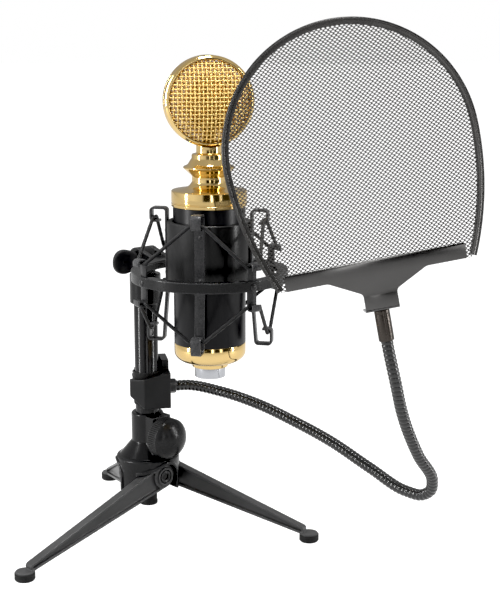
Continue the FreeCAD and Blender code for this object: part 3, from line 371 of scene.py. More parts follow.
class Look(Nodes):
    """A material with one principled shader."""

    def __init__(self, name):
        self.material = bpy.data.materials.new(name)
        super().__init__(self.material)
        self.shader = next(n for n in self.tree.nodes if n.type == "BSDF_PRINCIPLED")
        self.place = self.add("ShaderNodeTexCoord").outputs["Object"]

    def noise(self, scale, detail=3, stretch=(1, 1, 1), rough=0.55):
        """Noise with a given number of features per metre."""
        spread = self.add("ShaderNodeMapping")
        spread.inputs["Scale"].default_value = stretch
        self.plug(self.place, spread.inputs["Vector"])
        node = self.add("ShaderNodeTexNoise")
        for value, name in ((scale, "Scale"), (detail, "Detail"), (rough, "Roughness"), (spread.outputs[0], "Vector")):
            self.plug(value, node.inputs[name])
        return node.outputs["Fac"]

    def cells(self, scale, feature="F1"):
        node = self.add("ShaderNodeTexVoronoi", feature=feature)
        self.plug(scale, node.inputs["Scale"])
        self.plug(self.place, node.inputs["Vector"])
        return node.outputs["Distance"]

    def span(self, value, low, high):
        """Maps 0..1 to low..high."""
        return self.remap(value, 0.0, 1.0, low, high)

    def edges(self, low=0.505, high=0.56):
        """About 1 on convex edges and 0 elsewhere."""
        return self.remap(self.add("ShaderNodeNewGeometry").outputs["Pointiness"], low, high)

    def bump(self, height, strength, distance_mm):
        node = self.add("ShaderNodeBump")
        self.plug(strength, node.inputs["Strength"])
        self.plug(distance_mm * MM, node.inputs["Distance"])
        self.plug(height, node.inputs["Height"])
        normal = self.shader.inputs["Normal"]
        if normal.is_linked:
            self.plug(normal.links[0].from_socket, node.inputs["Normal"])
        self.plug(node.outputs[0], normal)

    def set(self, **values):
        names = {"colour": "Base Color", "rough": "Roughness", "metal": "Metallic", "coat": "Coat Weight",
                 "coat_rough": "Coat Roughness", "sheen": "Sheen Weight", "specular": "Specular IOR Level"}
        for key, value in values.items():
            self.plug(value, self.shader.inputs[names[key]])
        return self.material


def grey(value):
    return (value, value, value)


def enamel(name, dark, light, rough, peel=0.25, wear=0.5, coat=0.1, metal=0.0):
    """Stove enamel on a casting: glossy black, faint orange peel, thinner and greyer on the edges."""
    n = Look(name)
    cloud = n.noise(60, 4)
    base = n.blend(cloud, dark, light)
    worn = n.times(n.times(n.edges(), n.noise(900, 2)), wear)
    n.bump(n.noise(700, 2), peel, 0.05)
    n.bump(n.noise(90, 2), 0.15, 0.2)
    return n.set(colour=n.blend(worn, base, (0.16, 0.16, 0.165)), rough=n.span(n.noise(220, 5), *rough),
                 metal=metal, specular=0.3, coat=coat, coat_rough=0.08)


def moulded(name, dark, light, rough, grain_mm, depth):
    """Injection-moulded plastic with an etched grain."""
    n = Look(name)
    base = n.blend(n.noise(80, 3), dark, light)
    n.bump(n.cells(1000 / grain_mm), depth, 0.05)
    n.bump(n.noise(300, 3), 0.1, 0.05)
    worn = n.times(n.edges(0.51, 0.58), 0.35)
    return n.set(colour=n.blend(worn, base, grey(0.12)), rough=n.span(n.noise(260, 4), *rough),
                 specular=0.3)


def plated(name, dark, light, rough, lines=0.03, stretch=(1, 1, 30)):
    """Polished plating with hair-fine turning lines and faint cloudy patches."""
    n = Look(name)
    base = n.blend(n.noise(45, 4), dark, light)
    n.bump(n.noise(180, 3, stretch=stretch), lines, 0.02)
    n.bump(n.noise(30, 2), 0.02, 0.3)
    smear = n.noise(150, 6, rough=0.7)
    return n.set(colour=base, rough=n.span(smear, *rough), metal=1.0)


def wire(name, dark, light, rough, metal=1.0):
    """Drawn wire with fine lengthwise marks."""
    n = Look(name)
    base = n.blend(n.noise(500, 3), dark, light)
    n.bump(n.noise(4000, 2), 0.15, 0.02)
    return n.set(colour=base, rough=n.span(n.noise(900, 3), *rough), metal=metal)


def rubber(name, dark, light):
    n = Look(name)
    base = n.blend(n.noise(150, 5), dark, light)
    n.bump(n.noise(1500, 4), 0.35, 0.06)
    return n.set(colour=base, rough=n.span(n.noise(400, 4), 0.6, 0.85), specular=0.35)


def braid(name):
    """Tightly braided elastic: two crossing diagonal waves."""
    n = Look(name)
    waves = []
    for lean in (1, -1):
        turn = n.add("ShaderNodeMapping")
        turn.inputs["Rotation"].default_value = (0.6 * lean, 0.7, 0.8 * lean)
        n.plug(n.place, turn.inputs["Vector"])
        wave = n.add("ShaderNodeTexWave", wave_type="BANDS")
        wave.inputs["Scale"].default_value = 420
        wave.inputs["Distortion"].default_value = 0.4
        n.plug(turn.outputs[0], wave.inputs["Vector"])
        waves.append(wave.outputs["Fac"])
    cross = n.times(waves[0], waves[1])
    n.bump(cross, 0.8, 0.12)
    n.bump(n.noise(3000, 2), 0.3, 0.03)
    base = n.blend(cross, grey(0.006), (0.045, 0.045, 0.048))
    return n.set(colour=base, rough=0.55, specular=0.35, sheen=0.1)


def anodised(name):
    """The microphone's tube: fine satin black with a faint turned grain."""
    n = Look(name)
    base = n.blend(n.noise(70, 3), (0.005, 0.005, 0.006), (0.01, 0.01, 0.011))
    n.bump(n.noise(2600, 3), 0.12, 0.02)
    n.bump(n.noise(120, 2, stretch=(1, 1, 18)), 0.05, 0.04)
    return n.set(colour=base, rough=n.span(n.noise(200, 5), 0.28, 0.4), specular=0.3)


def board_green(name):
    n = Look(name)
    tracks = n.cells(220, "DISTANCE_TO_EDGE")
    base = n.blend(tracks, (0.02, 0.16, 0.06), (0.01, 0.09, 0.03))
    n.bump(tracks, 0.3, 0.05)
    return n.set(colour=base, rough=n.span(n.noise(300, 3), 0.3, 0.5), coat=0.3)


M = {
    # The legs get a lighter grey than the hub's black enamel: painted sheen standing in for reflected light on the
    # legs' faces.
    "leg": enamel("leg_enamel", grey(0.045), (0.085, 0.085, 0.086), (0.3, 0.44)),
    "plate": enamel("plate_gunmetal", (0.1, 0.098, 0.096), (0.13, 0.128, 0.126), (0.14, 0.2), peel=0.03, wear=0.2,
                    metal=1.0),
    "cast": enamel("cast_enamel", grey(0.006), (0.016, 0.016, 0.017), (0.16, 0.3)),
    "rod": enamel("rod_enamel", grey(0.006), (0.012, 0.012, 0.013), (0.14, 0.24), peel=0.1, wear=0.2),
    "bracket": enamel("bracket_enamel", grey(0.008), (0.016, 0.015, 0.015), (0.26, 0.4), wear=0.7),
    "sheet": enamel("sheet_enamel", grey(0.006), (0.016, 0.016, 0.017), (0.2, 0.36), wear=0.9),
    "knob": moulded("knob_plastic", grey(0.012), (0.024, 0.024, 0.025), (0.22, 0.34), 0.6, 0.04),
    "lever": moulded("lever_plastic", (0.014, 0.014, 0.015), (0.026, 0.026, 0.028), (0.36, 0.5), 0.45, 0.3),
    "clamp": moulded("clamp_body", grey(0.008), (0.018, 0.018, 0.019), (0.26, 0.4), 0.5, 0.2),
    "shell_textured": moulded("shell_textured", grey(0.006), (0.018, 0.018, 0.019), (0.42, 0.6), 0.7, 0.8),
    "shell_smooth": moulded("shell_smooth", grey(0.002), grey(0.005), (0.2, 0.3), 0.9, 0.05),
    "hose": enamel("hose_coat", grey(0.004), grey(0.009), (0.1, 0.18), peel=0.06, wear=0.1, coat=1.0),
    "ferrule": plated("ferrule_nickel", (0.055, 0.048, 0.043), (0.1, 0.09, 0.082), (0.22, 0.34), 0.08),
    "rim": enamel("rim_gunmetal", (0.05, 0.049, 0.048), (0.09, 0.088, 0.086), (0.22, 0.32), peel=0.05, wear=0.2,
                  metal=1.0),
    "steel_mesh": wire("steel_mesh", (0.06, 0.058, 0.056), (0.14, 0.136, 0.132), (0.35, 0.5)),
    "screw": plated("screw_steel", (0.3, 0.3, 0.31), (0.5, 0.5, 0.52), (0.2, 0.35), 0.1),
    "gold": plated("polished_gold", (0.74, 0.53, 0.22), (0.84, 0.62, 0.29), (0.06, 0.13)),
    "gold_wire": wire("gold_wire", (0.95, 0.66, 0.22), (1.0, 0.8, 0.36), (0.36, 0.48), metal=0.7),
    "gold_fine": wire("gold_fine_mesh", (0.9, 0.6, 0.18), (1.0, 0.7, 0.26), (0.4, 0.55), metal=0.4),
    "chrome": plated("connector_chrome", (0.42, 0.43, 0.45), (0.58, 0.59, 0.62), (0.08, 0.18)),
    "rubber": rubber("foot_rubber", grey(0.012), grey(0.026)),
    "cord": braid("elastic_braid"),
    "tube": anodised("mic_satin_black"),
    "board": board_green("circuit_board"),
    "capsule": wire("capsule_brass", (0.5, 0.36, 0.14), (0.75, 0.58, 0.28), (0.25, 0.4)),
    "chassis": wire("chassis_aluminium", (0.45, 0.45, 0.46), (0.65, 0.65, 0.66), (0.3, 0.45)),
}


# ---- tripod
def tripod():
    soften("hub", "hub_casting", "base", "cast", 0.42, 5)
    for letter in "abc":
        leg = "leg_" + letter
        soften(leg, leg + "_casting", leg, "leg", 0.42, 4, trim=0.12)
        rubber_foot(letter)
    pivot_screws()
    height_knob()


def rubber_foot(letter):
    node = "foot_" + letter
    low, high = node_box(node)
    middle = (low + high) / 2
    outer, top = (high.x - low.x) / 2, high.z
    profile = rounded([(0, 0.35), (3.2, 0.35), (3.6, 0), (outer - 0.7, 0), (outer, 0.9), (outer, 2.2),
                       (outer - 0.25, 2.5), (outer, 2.8), (outer, top), (outer - 0.42, top),
                       (outer - 0.42, 3.25), (0, 3.25)], 0.3, 3)
    make("foot_rubber_" + letter, *revolve(profile, 56), "leg_" + letter, "foot_rubber", "rubber",
         (node,), frame_of((middle.x, middle.y, 0), (1, 0, 0), UP), sharp=50)


def hexagon(angle):
    """How far out a hexagon lies at an angle, as a share of its corners' radius."""
    return math.cos(math.radians(30)) / math.cos((angle % math.radians(60)) - math.radians(30))


def hex_socket(from_r):
    """Shapes the rings inside from_r into hexagons with their corners on the ring."""
    return lambda angle, r, z: r if r > from_r else r * hexagon(angle)


def hex_shape(from_r, to_r):
    """Shapes the rings between two radii into a hexagon that fits inside them."""
    return lambda angle, r, z: min(r, to_r * hexagon(angle)) if from_r < r <= to_r else r


def pivot_screws():
    """Shoulder screws: domed rim, flat face and a hexagon socket."""
    head, base, top = 4.1, 18.42, 19.9
    profile = [(0, base), (head, base), (head, top - 0.6), (head - 0.2, top - 0.2), (head - 0.6, top),
               (3.1, top), (2.8, top - 0.2), (2.55, top - 0.25), (2.5, top - 0.45), (2.45, base + 0.35),
               (0, base + 0.3)]
    shank = [(0, 8.45), (2.7, 8.45), (2.95, 8.7), (2.95, base), (0, base)]
    screw = merged(revolve(profile, 72, hex_socket(2.52)), revolve(shank, 40))
    screws = [moved(screw, beside_rod(f"leg_{letter}_fold")) for letter in "abc"]
    make("leg_pivot_screws", *merged(*screws), "base", "black_oxide_steel", "bracket", ("leg_screws",))


def height_knob():
    """Hand knob: a finely knurled rim and a smooth domed face that springs straight from it."""
    outer, back, front = 14.0, 15.6, 24.2

    def ribs(angle, r, zz):
        if r < outer - 0.5 or zz > front - 0.4:
            return r
        return r - 0.4 + 0.4 * abs(math.cos(angle * 30))

    def face(r):
        return 15.92 + math.sqrt(16.25 ** 2 - r * r)

    rim = [(3.2, back + 0.1), (outer - 1.2, back), (outer, back + 0.6), (outer, back + 1.8), (outer, 20.5),
           (outer, front - 0.6), (outer - 0.12, front), (outer - 0.35, front + 0.35)]
    dome = [(r, face(r)) for r in (13.3, 12.6, 11.6, 10.4, 9.0, 7.4, 5.6, 3.8, 1.9, 0)]
    profile = rim + dome + [(0, 24.0), (3.2, 24.0)]
    make("height_knob_grip", *revolve(profile, 360, ribs), "height_knob", "knob_plastic",
         "knob", ("height_knob",), beside_rod("height_knob_turn"), sharp=50)


# ---- rod
def rod_parts():
    low, high = node_box("rod")
    outer, bore = (high.x - low.x) / 2, 6.85
    thread_from, top, bottom = 166.0, high.z, low.z
    profile = [(bore, bottom), (outer - 0.4, bottom), (outer, bottom + 0.4), (outer, 163.4), (outer - 0.12, 163.6),
               (outer - 0.12, thread_from)]
    pitch = 1.25
    z = thread_from
    while z + pitch < top - 0.8:
        profile += [(outer - 0.75, z + pitch * 0.35), (outer - 0.75, z + pitch * 0.5), (outer - 0.12, z + pitch * 0.9),
                    (outer - 0.12, z + pitch)]
        z += pitch
    profile += [(outer - 0.8, top), (bore, top)]
    make("rod_tube", *revolve(profile, 72), "rod", "rod_enamel", "rod", ("rod",), frame_of(ROD, (1, 0, 0), UP))
    p_low, p_high = node_box("rod_plug")
    lip = 6.25
    plug = rounded([(0, p_low.z + 0.6), (3.4, p_low.z + 0.6), (4.0, p_low.z), (lip, p_low.z), (lip, p_low.z + 2.2),
                    (lip - 0.3, p_low.z + 2.8), (lip - 0.3, bottom), (bore - 0.1, bottom), (bore - 0.1, p_high.z),
                    (0, p_high.z)], 0.45, 3)
    make("rod_end_plug", *revolve(plug, 64), "rod", "foot_rubber", "rubber", ("rod_plug",),
         frame_of(ROD, (1, 0, 0), UP), sharp=50)


# ---- pop filter clamp and hose
def filter_clamp():
    soften("clamp_body", "clamp_casting", "clamp", "clamp", 0.3, 4)
    soften("clamp_sleeve", "clamp_rubber_sleeve", "clamp_sleeve", "rubber", 0.22, 2)
    thumb_knob()
    hose_nut()


def thumb_knob():
    outer = 8.0

    def lobes(angle, r, zz):
        if r < outer - 1.0:
            return r
        return r - 0.55 * (0.5 + 0.5 * math.cos(angle * 18)) ** 2

    profile = rounded([(2.6, 22), (outer - 0.9, 22), (outer, 22.8), (outer, 25.2), (outer, 27.5), (outer - 1.4, 29.0),
                       (4.5, 29.3), (4.2, 28.9), (0, 28.9), (0, 27.2), (2.6, 27.2)], 0.35, 3)
    make("clamp_knob_grip", *revolve(profile, 216, lobes), "clamp_knob", "knob_plastic", "knob",
         ("clamp_knob",), beside_rod("clamp_knob_turn"), sharp=50)


def hose_nut():
    place = frame_of(ROD + UP * joint_at("neck_turn").z, UP, CLAMP_SIDE)
    profile = [(0, 10.5), (2.0, 10.5), (2.0, 15.05), (4.6, 15.05), (5.2, 15.6), (5.2, 19.2), (4.6, 19.9), (4.1, 19.95),
               (3.9, 19.6), (0, 19.6)]
    make("hose_lock_nut", *revolve(profile, 96, hex_shape(4.3, 5.3)), "clamp", "screw_steel", "bracket",
         ("hose_nut",), place)


HOSE_R = 3.72
RIB_PITCH = 2.8


def hose_line():
    """The hose's centre line, by way of the joints' places and the free points between them."""
    free = [(51, 2.5, 100), (76, -8, 94.3), (100.5, -24, 86.8), (125, -43, 78.3), (149, -63, 67),
            (170.5, -81.5, 58), (179.5, -89, 58.2), (184.2, -94, 63), (184.5, -98.5, 71),
            (174, -109, 91), (162.0, -120.5, 122), (157.7, -124.2, 140)]
    up = joint_axis("filter_swivel")
    root = joint_at("neck_turn")
    points = [CLAMP_SIDE * 19.0 + UP * root.z + ROD, root]
    points += [Vector(p) + ROD for p in free] + [joint_at("filter_swivel") - up * 18.2]
    return points, CLAMP_SIDE, up


def spline(points, first, last, per_mm=4):
    """A smooth curve through the points, sampled evenly, with the index of each given point."""
    lengths = [(b - a).length for a, b in zip(points, points[1:])]
    slopes = [first]
    for i in range(1, len(points) - 1):
        a, b = lengths[i - 1], lengths[i]
        into, out = (points[i] - points[i - 1]) / a, (points[i + 1] - points[i]) / b
        slopes.append((into * b + out * a) / (a + b))
    slopes.append(last)
    dense, marks = [], [0]
    for i, reach in enumerate(lengths):
        steps = max(2, int(reach * per_mm))
        for k in range(steps):
            t = k / steps
            h = (2 * t ** 3 - 3 * t ** 2 + 1, t ** 3 - 2 * t ** 2 + t, -2 * t ** 3 + 3 * t ** 2, t ** 3 - t ** 2)
            dense.append(points[i] * h[0] + slopes[i] * reach * h[1] + points[i + 1] * h[2]
                         + slopes[i + 1] * reach * h[3])
        marks.append(len(dense))
    dense.append(points[-1])
    return dense, marks


def gooseneck():
    """One ribbed tube in four pieces, cut halfway between the hose's joints."""
    points, first, last = hose_line()
    dense, marks = spline(points, first, last)
    travelled = [0.0]
    for a, b in zip(dense, dense[1:]):
        travelled.append(travelled[-1] + (b - a).length)
    joints = [marks[1], marks[4], marks[9], marks[13]]
    cuts = [0, (joints[0] + joints[1]) // 2, (joints[1] + joints[2]) // 2, (joints[2] + joints[3]) // 2,
            len(dense) - 1]
    hidden = [("hose_root", "hose_1"), ("hose_2",), ("hose_3",), ("hose_4",)]
    sides = 28
    for k in range(4):
        start, end = cuts[k], cuts[k + 1]

        def ribs(i, angle, start=start):
            turn = (travelled[start + i] / RIB_PITCH + angle / math.tau) % 1.0
            crest = 1 - abs(2 * turn - 1) ** 3
            return 1 - 0.115 * (1 - crest)

        path = dense[start:end + 1]
        mesh = sweep(path, circle(HOSE_R, sides), size=ribs)
        piece = make(f"gooseneck_{k + 1}", *mesh, None, "hose_coat", "hose", hidden[k], sharp=180)
        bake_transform(piece)


# ---- pop filter
FILTER_YAW, FILTER_LEAN, FILTER_TURN = math.radians(5), math.radians(5.7), math.radians(3)
FILTER_CENTRE, FILTER_R, SIDE_R = Vector((-2.2, 75.1)), 75.3, 180.3
RIM_LOW, TAB_LOW = 2.0, -20.0
SHELF_BACK = -10.0
PLATE_FRONT = 1.45
FERRULE_N = -5.0
ACROSS = Vector((math.cos(FILTER_TURN), math.sin(FILTER_TURN)))
OVER = Vector((-ACROSS.y, ACROSS.x))


def filter_place():
    """The filter's frame: x along its lower edge, y up its face, z out of its front."""
    up = joint_axis("filter_swivel")
    front = Vector((math.sin(FILTER_YAW) * math.cos(FILTER_LEAN), -math.cos(FILTER_YAW) * math.cos(FILTER_LEAN),
                    math.sin(FILTER_LEAN)))
    origin = joint_at("filter_swivel") - up * TAB_LOW - front * FERRULE_N
    return frame_of(origin, up.cross(front), front)


def filter_edge(inset, low, steps=120):
    """The filter's outline from its left foot over its round top to its right foot."""
    sides = []
    for way in (-1, 1):
        centre = FILTER_CENTRE - ACROSS * (way * (SIDE_R - FILTER_R))
        radius = SIDE_R - inset
        lean = math.atan2(ACROSS.y * way, ACROSS.x * way)
        foot = math.asin((low - centre.y) / radius)
        if way < 0:
            foot = math.copysign(math.pi, lean) - foot
        sides.append([centre + Vector((math.cos(turn), math.sin(turn))) * radius
                      for turn in (foot + (lean - foot) * k / 30 for k in range(30))])
    arc = []
    for k in range(steps + 1):
        turn = math.pi * k / steps
        arc.append(FILTER_CENTRE + (OVER * math.sin(turn) - ACROSS * math.cos(turn)) * (FILTER_R - inset))
    return sides[0] + arc + sides[1][::-1]


def inside_filter(x, y, inset, low):
    spot = Vector((x, y)) - FILTER_CENTRE
    if spot.dot(OVER) >= 0:
        return spot.length < FILTER_R - inset
    reach = abs(spot.dot(ACROSS)) + SIDE_R - FILTER_R
    return y > low and math.hypot(reach, spot.dot(OVER)) < SIDE_R - inset


def filter_rim():
    """A rolled channel: a round outer bead, a flatter band inside it, and a lip against the mesh."""
    path = [Vector((p.x, p.y, 0)) for p in reversed(filter_edge(2.1, RIM_LOW))]
    outer, inner, half = 2.08, -2.1, 1.78
    section = rounded([(-half, outer - 0.5), (-half + 0.6, outer), (half - 0.6, outer), (half, outer - 0.5),
                       (half, 0.5), (half - 0.45, 0.2), (half - 0.45, inner + 0.7), (half - 0.75, inner),
                       (0.34, inner), (0.34, inner + 0.6), (-0.34, inner + 0.6), (-0.34, inner),
                       (-half + 0.75, inner), (-half + 0.45, inner + 0.7), (-half + 0.45, 0.2), (-half, 0.5)],
                      0.25, 2)
    make("filter_rim_channel", *sweep(path, section, normal=(0, 0, 1)), "filter", "filter_rim", "rim",
         ("filter_rim",), filter_place(), sharp=40)


def filter_mesh():
    """Expanded steel: staggered diamond openings between twisted strands, as real geometry."""
    pitch, row = 2.72, 1.22
    hole_w, hole_h = pitch * 0.355, row * 0.54
    thick = 0.22
    verts, faces = [], []
    rows = int((FILTER_CENTRE.y + FILTER_R) / row) + 2
    columns = int((FILTER_R + 3) / pitch) + 2
    cell = [(pitch * 0.5, row * 0.25), (0, row * 0.75), (-pitch * 0.5, row * 0.25), (-pitch * 0.5, -row * 0.25),
            (0, -row * 0.75), (pitch * 0.5, -row * 0.25)]
    hole = [(hole_w, hole_h * 0.14), (hole_w * 0.42, hole_h * 0.86), (-hole_w * 0.42, hole_h * 0.86),
            (-hole_w, hole_h * 0.14), (-hole_w, -hole_h * 0.14), (-hole_w * 0.42, -hole_h * 0.86),
            (hole_w * 0.42, -hole_h * 0.86), (hole_w, -hole_h * 0.14)]
    outer = [cell[0], cell[1], cell[1], cell[2], cell[3], cell[4], cell[4], cell[5]]
    for j in range(rows):
        y = j * row + 0.3
        for i in range(-columns, columns + 1):
            x = (i + 0.5 * (j % 2)) * pitch
            if not inside_filter(x, y, 2.0, 1.5):
                continue
            start = len(verts)
            for side in (1, -1):
                for (ox, oy), (hx, hy) in zip(outer, hole):
                    verts.append((x + ox, y + oy, side * thick + 0.07 * (1 if oy > 0 else -1)))
                    verts.append((x + hx, y + hy, side * thick * 0.8 - 0.05 * (1 if hy > 0 else -1)))
            for k in range(8):
                a, b = 2 * k, 2 * ((k + 1) % 8)
                faces.append((start + a, start + b, start + b + 1, start + a + 1))
                faces.append((start + 16 + a + 1, start + 16 + b + 1, start + 16 + b, start + 16 + a))
                faces.append((start + a + 1, start + b + 1, start + 16 + b + 1, start + 16 + a + 1))
    make("filter_expanded_mesh", verts, faces, "filter", "filter_mesh", "steel_mesh",
         ("filter_mesh",), filter_place(), sharp=40)


def filter_bracket():
    """Pressed plate across the mesh with a tab that folds back into a shelf over the ferrule."""
    place = filter_place()
    end_x, top, low = 54.1, 10.3, 0.9
    tab_top, tab, shoulder = 29.5, 10.1, -9.0
    outline = rounded([(-end_x, top), (-end_x, low), (-tab_top, low), (-tab, shoulder), (-tab, TAB_LOW + 0.7),
                       (tab, TAB_LOW + 0.7), (tab, shoulder), (tab_top, low), (end_x, low), (end_x, top)],
                      [1.2, 1.2, 6.0, 3.0, 0.0, 0.0, 3.0, 6.0, 1.2, 1.2], 5)
    make("filter_bracket_plate", *plate(outline, 0.27, PLATE_FRONT), "filter", "filter_bracket", "plate",
         (), place, sharp=30, bevel=0.18)
    thick, back, bend = 1.2, SHELF_BACK, 0.7
    section = rounded([(PLATE_FRONT, TAB_LOW + 1.6), (PLATE_FRONT, TAB_LOW), (back, TAB_LOW),
                       (back, TAB_LOW + thick), (0.27, TAB_LOW + thick), (0.27, TAB_LOW + 1.6)],
                      [0, bend, 0.4, 0.4, 0.0, 0], 4)
    verts, faces = plate([(n, y) for n, y in section], -tab, tab)
    shelf = [(z, y, n) for n, y, z in verts], faces
    make("filter_bracket_shelf", *shelf, "filter", "filter_bracket", "plate", ("filter_bracket",), place,
         sharp=30, bevel=0.15)
    strip = rounded([(-end_x + 1.6, top - 1.3), (-end_x + 1.6, low + 0.3), (end_x - 1.6, low + 0.3),
                     (end_x - 1.6, top - 1.3)], 1.4, 4)
    rivets = [plate(strip, -1.25, -0.28)]
    dome = [(0, -2.1), (0.9, -2.0), (1.5, -1.65), (1.65, -1.25), (0, -1.25)]
    for x in (-42, -14, 14, 42):
        rivets.append(moved(revolve(dome, 24), Matrix.Translation((x, (top + low) / 2, 0))))
    make("filter_back_plate", *merged(*rivets), "filter", "filter_bracket", "bracket", ("filter_back_strip",),
         place, sharp=30)


def ferrule():
    """Turned ferrule over the hose's end, and the screw that clamps the shelf."""
    up = joint_axis("filter_swivel")
    place = frame_of(joint_at("filter_swivel"), filter_place().to_3x3() @ Vector((1, 0, 0)), up)
    profile = rounded([(0, -0.1), (4.2, -0.1), (4.65, -0.6), (4.65, -2.6), (4.5, -2.8), (4.65, -3.0),
                       (4.65, -18.6), (4.3, -19.15), (HOSE_R + 0.05, -19.15), (HOSE_R + 0.05, -18.2), (0, -18.2)],
                      0.15, 2)
    make("hose_ferrule_sleeve", *revolve(profile, 72), "neck_4", "ferrule_nickel", "ferrule",
         ("hose_ferrule",), place)
    low, high = 1.3, 3.55
    head = [(0, low), (3.75, low), (3.75, low + 0.9), (3.3, low + 1.7), (2.2, high), (1.6, high), (1.5, high - 0.9),
            (0, high - 1.0)]

    def cross(angle, r, z):
        if 0.3 < r < 1.65 and z > low + 1.0:
            return r * (0.45 + 0.55 * abs(math.cos(2 * angle)) ** 2)
        return r

    shank = revolve([(0, -9.9), (1.6, -9.9), (1.95, -9.4), (1.95, low), (0, low)], 36)
    make("filter_clamp_screw", *merged(revolve(head, 96, cross), shank), "neck_4", "screw_steel", "screw",
         ("filter_screw",), place)


# ---- shock mount
RING_LOW, RING_TOP = 190.4, 196.8
RIVET_Z = (RING_LOW + RING_TOP - 1.3) / 2
STRIP_W = 6.4


def shock_mount():
    soften("mount_barrel", "mount_barrel_turned", "mount_base", "sheet", 0.3, 4)
    soften("mount_ring", "mount_ring_sheet", "tilt_head", "sheet", 0.33, 3)
    soften("tilt_bolt", "tilt_bolt_hex", "tilt_head", "bracket", 0.22, 2)
    tilt_paddle()
    posts()
    arms()
    shells()
    cords()


def tilt_paddle():
    """Moulded lever: a boss on the bolt that flows into a deep, thick wing with a round end."""
    place = beside_rod("tilt_lever_turn")
    stations = ((7.65, 5.9, 5.9), (9.4, 6.2, 5.7), (11.2, 6.8, 4.4), (12.8, 7.3, 3.1), (14.6, 7.8, 2.55),
                (17.4, 8.35, 2.45), (20.4, 7.9, 2.4), (22.8, 6.6, 2.1), (24.6, 4.6, 1.6), (25.6, 2.4, 1.0),
                (25.95, 0.8, 0.5))
    sides = 40
    verts = []
    for along, half_h, half_t in stations:
        flat = min(1.0, max(0.0, (along - 9.4) / 5.0))
        power = 2 + 3.5 * flat
        for k in range(sides):
            angle = math.tau * k / sides
            c, d = math.cos(angle), math.sin(angle)
            verts.append((half_h * math.copysign(abs(c) ** (2 / power), c),
                          half_t * math.copysign(abs(d) ** (2 / power), d), along))
    piece = make("tilt_lever_paddle", verts, skin(len(stations), sides), None, "knob_plastic", "lever",
                 ("tilt_lever",), place, sharp=70)
    subdivide(piece, 2)
    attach(piece, "tilt_lever")


def subdivide(piece, levels):
    """Applies a subdivision surface."""
    modifier = piece.modifiers.new("subdivide", "SUBSURF")
    modifier.levels = levels
    modifier.render_levels = levels
    depsgraph = bpy.context.evaluated_depsgraph_get()
    mesh = bpy.data.meshes.new_from_object(piece.evaluated_get(depsgraph))
    piece.modifiers.clear()
    piece.data = mesh
    mesh.shade_smooth()


def posts():
    """Sheet-metal hook posts on the ring, with their rivets."""
    inner, out, top, low, lip = 47.75, 53.2, 207.4, 178.8, 3.7
    path = bent_path([(out, low + lip), (out, low), (inner, low), (inner, top), (out, top), (out, top - lip)], 1.6)
    strip = sweep(path, bar_section(STRIP_W, 1.5, 0.35), normal=(0, 1, 0))
    dome = [(0, 50.95), (0.9, 50.85), (1.7, 50.6), (2.2, 50.3), (2.3, 49.9), (1.1, 49.9), (1.1, 48.2), (0, 48.2)]
    rivet = moved(revolve(dome, 28), frame_of((0, 0, RIVET_Z), UP, (1, 0, 0)))
    make("ring_hook_posts", *round_mic(strip, POST_AZIMUTHS), "tilt_head", "black_oxide_steel", "sheet",
         ("ring_posts",), sharp=40)
    make("ring_post_rivets", *round_mic(rivet, POST_AZIMUTHS), "tilt_head", "black_oxide_steel", "bracket",
         ("post_rivets",))


def arms():
    """Long bent arms of the cradle with a hook at each end."""
    inner, low_out, top_out, lip = 27.45, 40.2, 37.6, 5.6
    path = bent_path([(low_out - lip, 159.4), (low_out, 159.4), (low_out, 149.6), (30.2, 149.6), (inner, 184.0),
                      (inner, 235.2), (top_out, 235.2), (top_out, 227.0), (top_out - lip, 227.0)], 2.0)
    strip = sweep(path, bar_section(STRIP_W, 1.5, 0.35), normal=(0, 1, 0))
    make("cradle_hook_arms", *round_mic(strip, CRADLE_AZIMUTHS), "cradle", "black_oxide_steel", "sheet",
         ("cradle_arms",), sharp=40)
    dome = [(0, 28.75), (0.7, 28.72), (1.25, 28.55), (1.6, 28.22), (0.85, 28.2), (0.85, 24.6), (0, 24.6)]
    heads = [moved(revolve(dome, 24), frame_of((0, 1.0, z), UP, (1, 0, 0))) for z in (194, 221)]
    make("cradle_arm_rivets", *round_mic(merged(*heads), CRADLE_AZIMUTHS), "cradle", "black_oxide_steel",
         "bracket", ("cradle_rivets",))


def shells():
    """The cradle's two half sleeves: a grained one on the left and a glossy one on the right."""
    low, high, bore, outer = 188.0, 228.0, 23.0, 26.7
    profile = rounded([(bore, low), (outer, low), (outer, high), (bore + 0.8, high), (bore, high - 0.6)],
                      [0.5, 1.0, 1.0, 0.5, 0.3], 4)
    gap = math.degrees(0.2 / outer)
    for word, slot, material, turn in (("left", "cradle_textured", "shell_textured", 180),
                                       ("right", "cradle_smooth", "shell_smooth", 0)):
        mesh = revolve(profile, 60, span=(turn + gap, turn + 180 - gap))
        make(f"cradle_sleeve_{word}", *mesh, "cradle", slot, material, ("cradle_shell_" + word,),
             on_mic(SEAM_AZIMUTH))


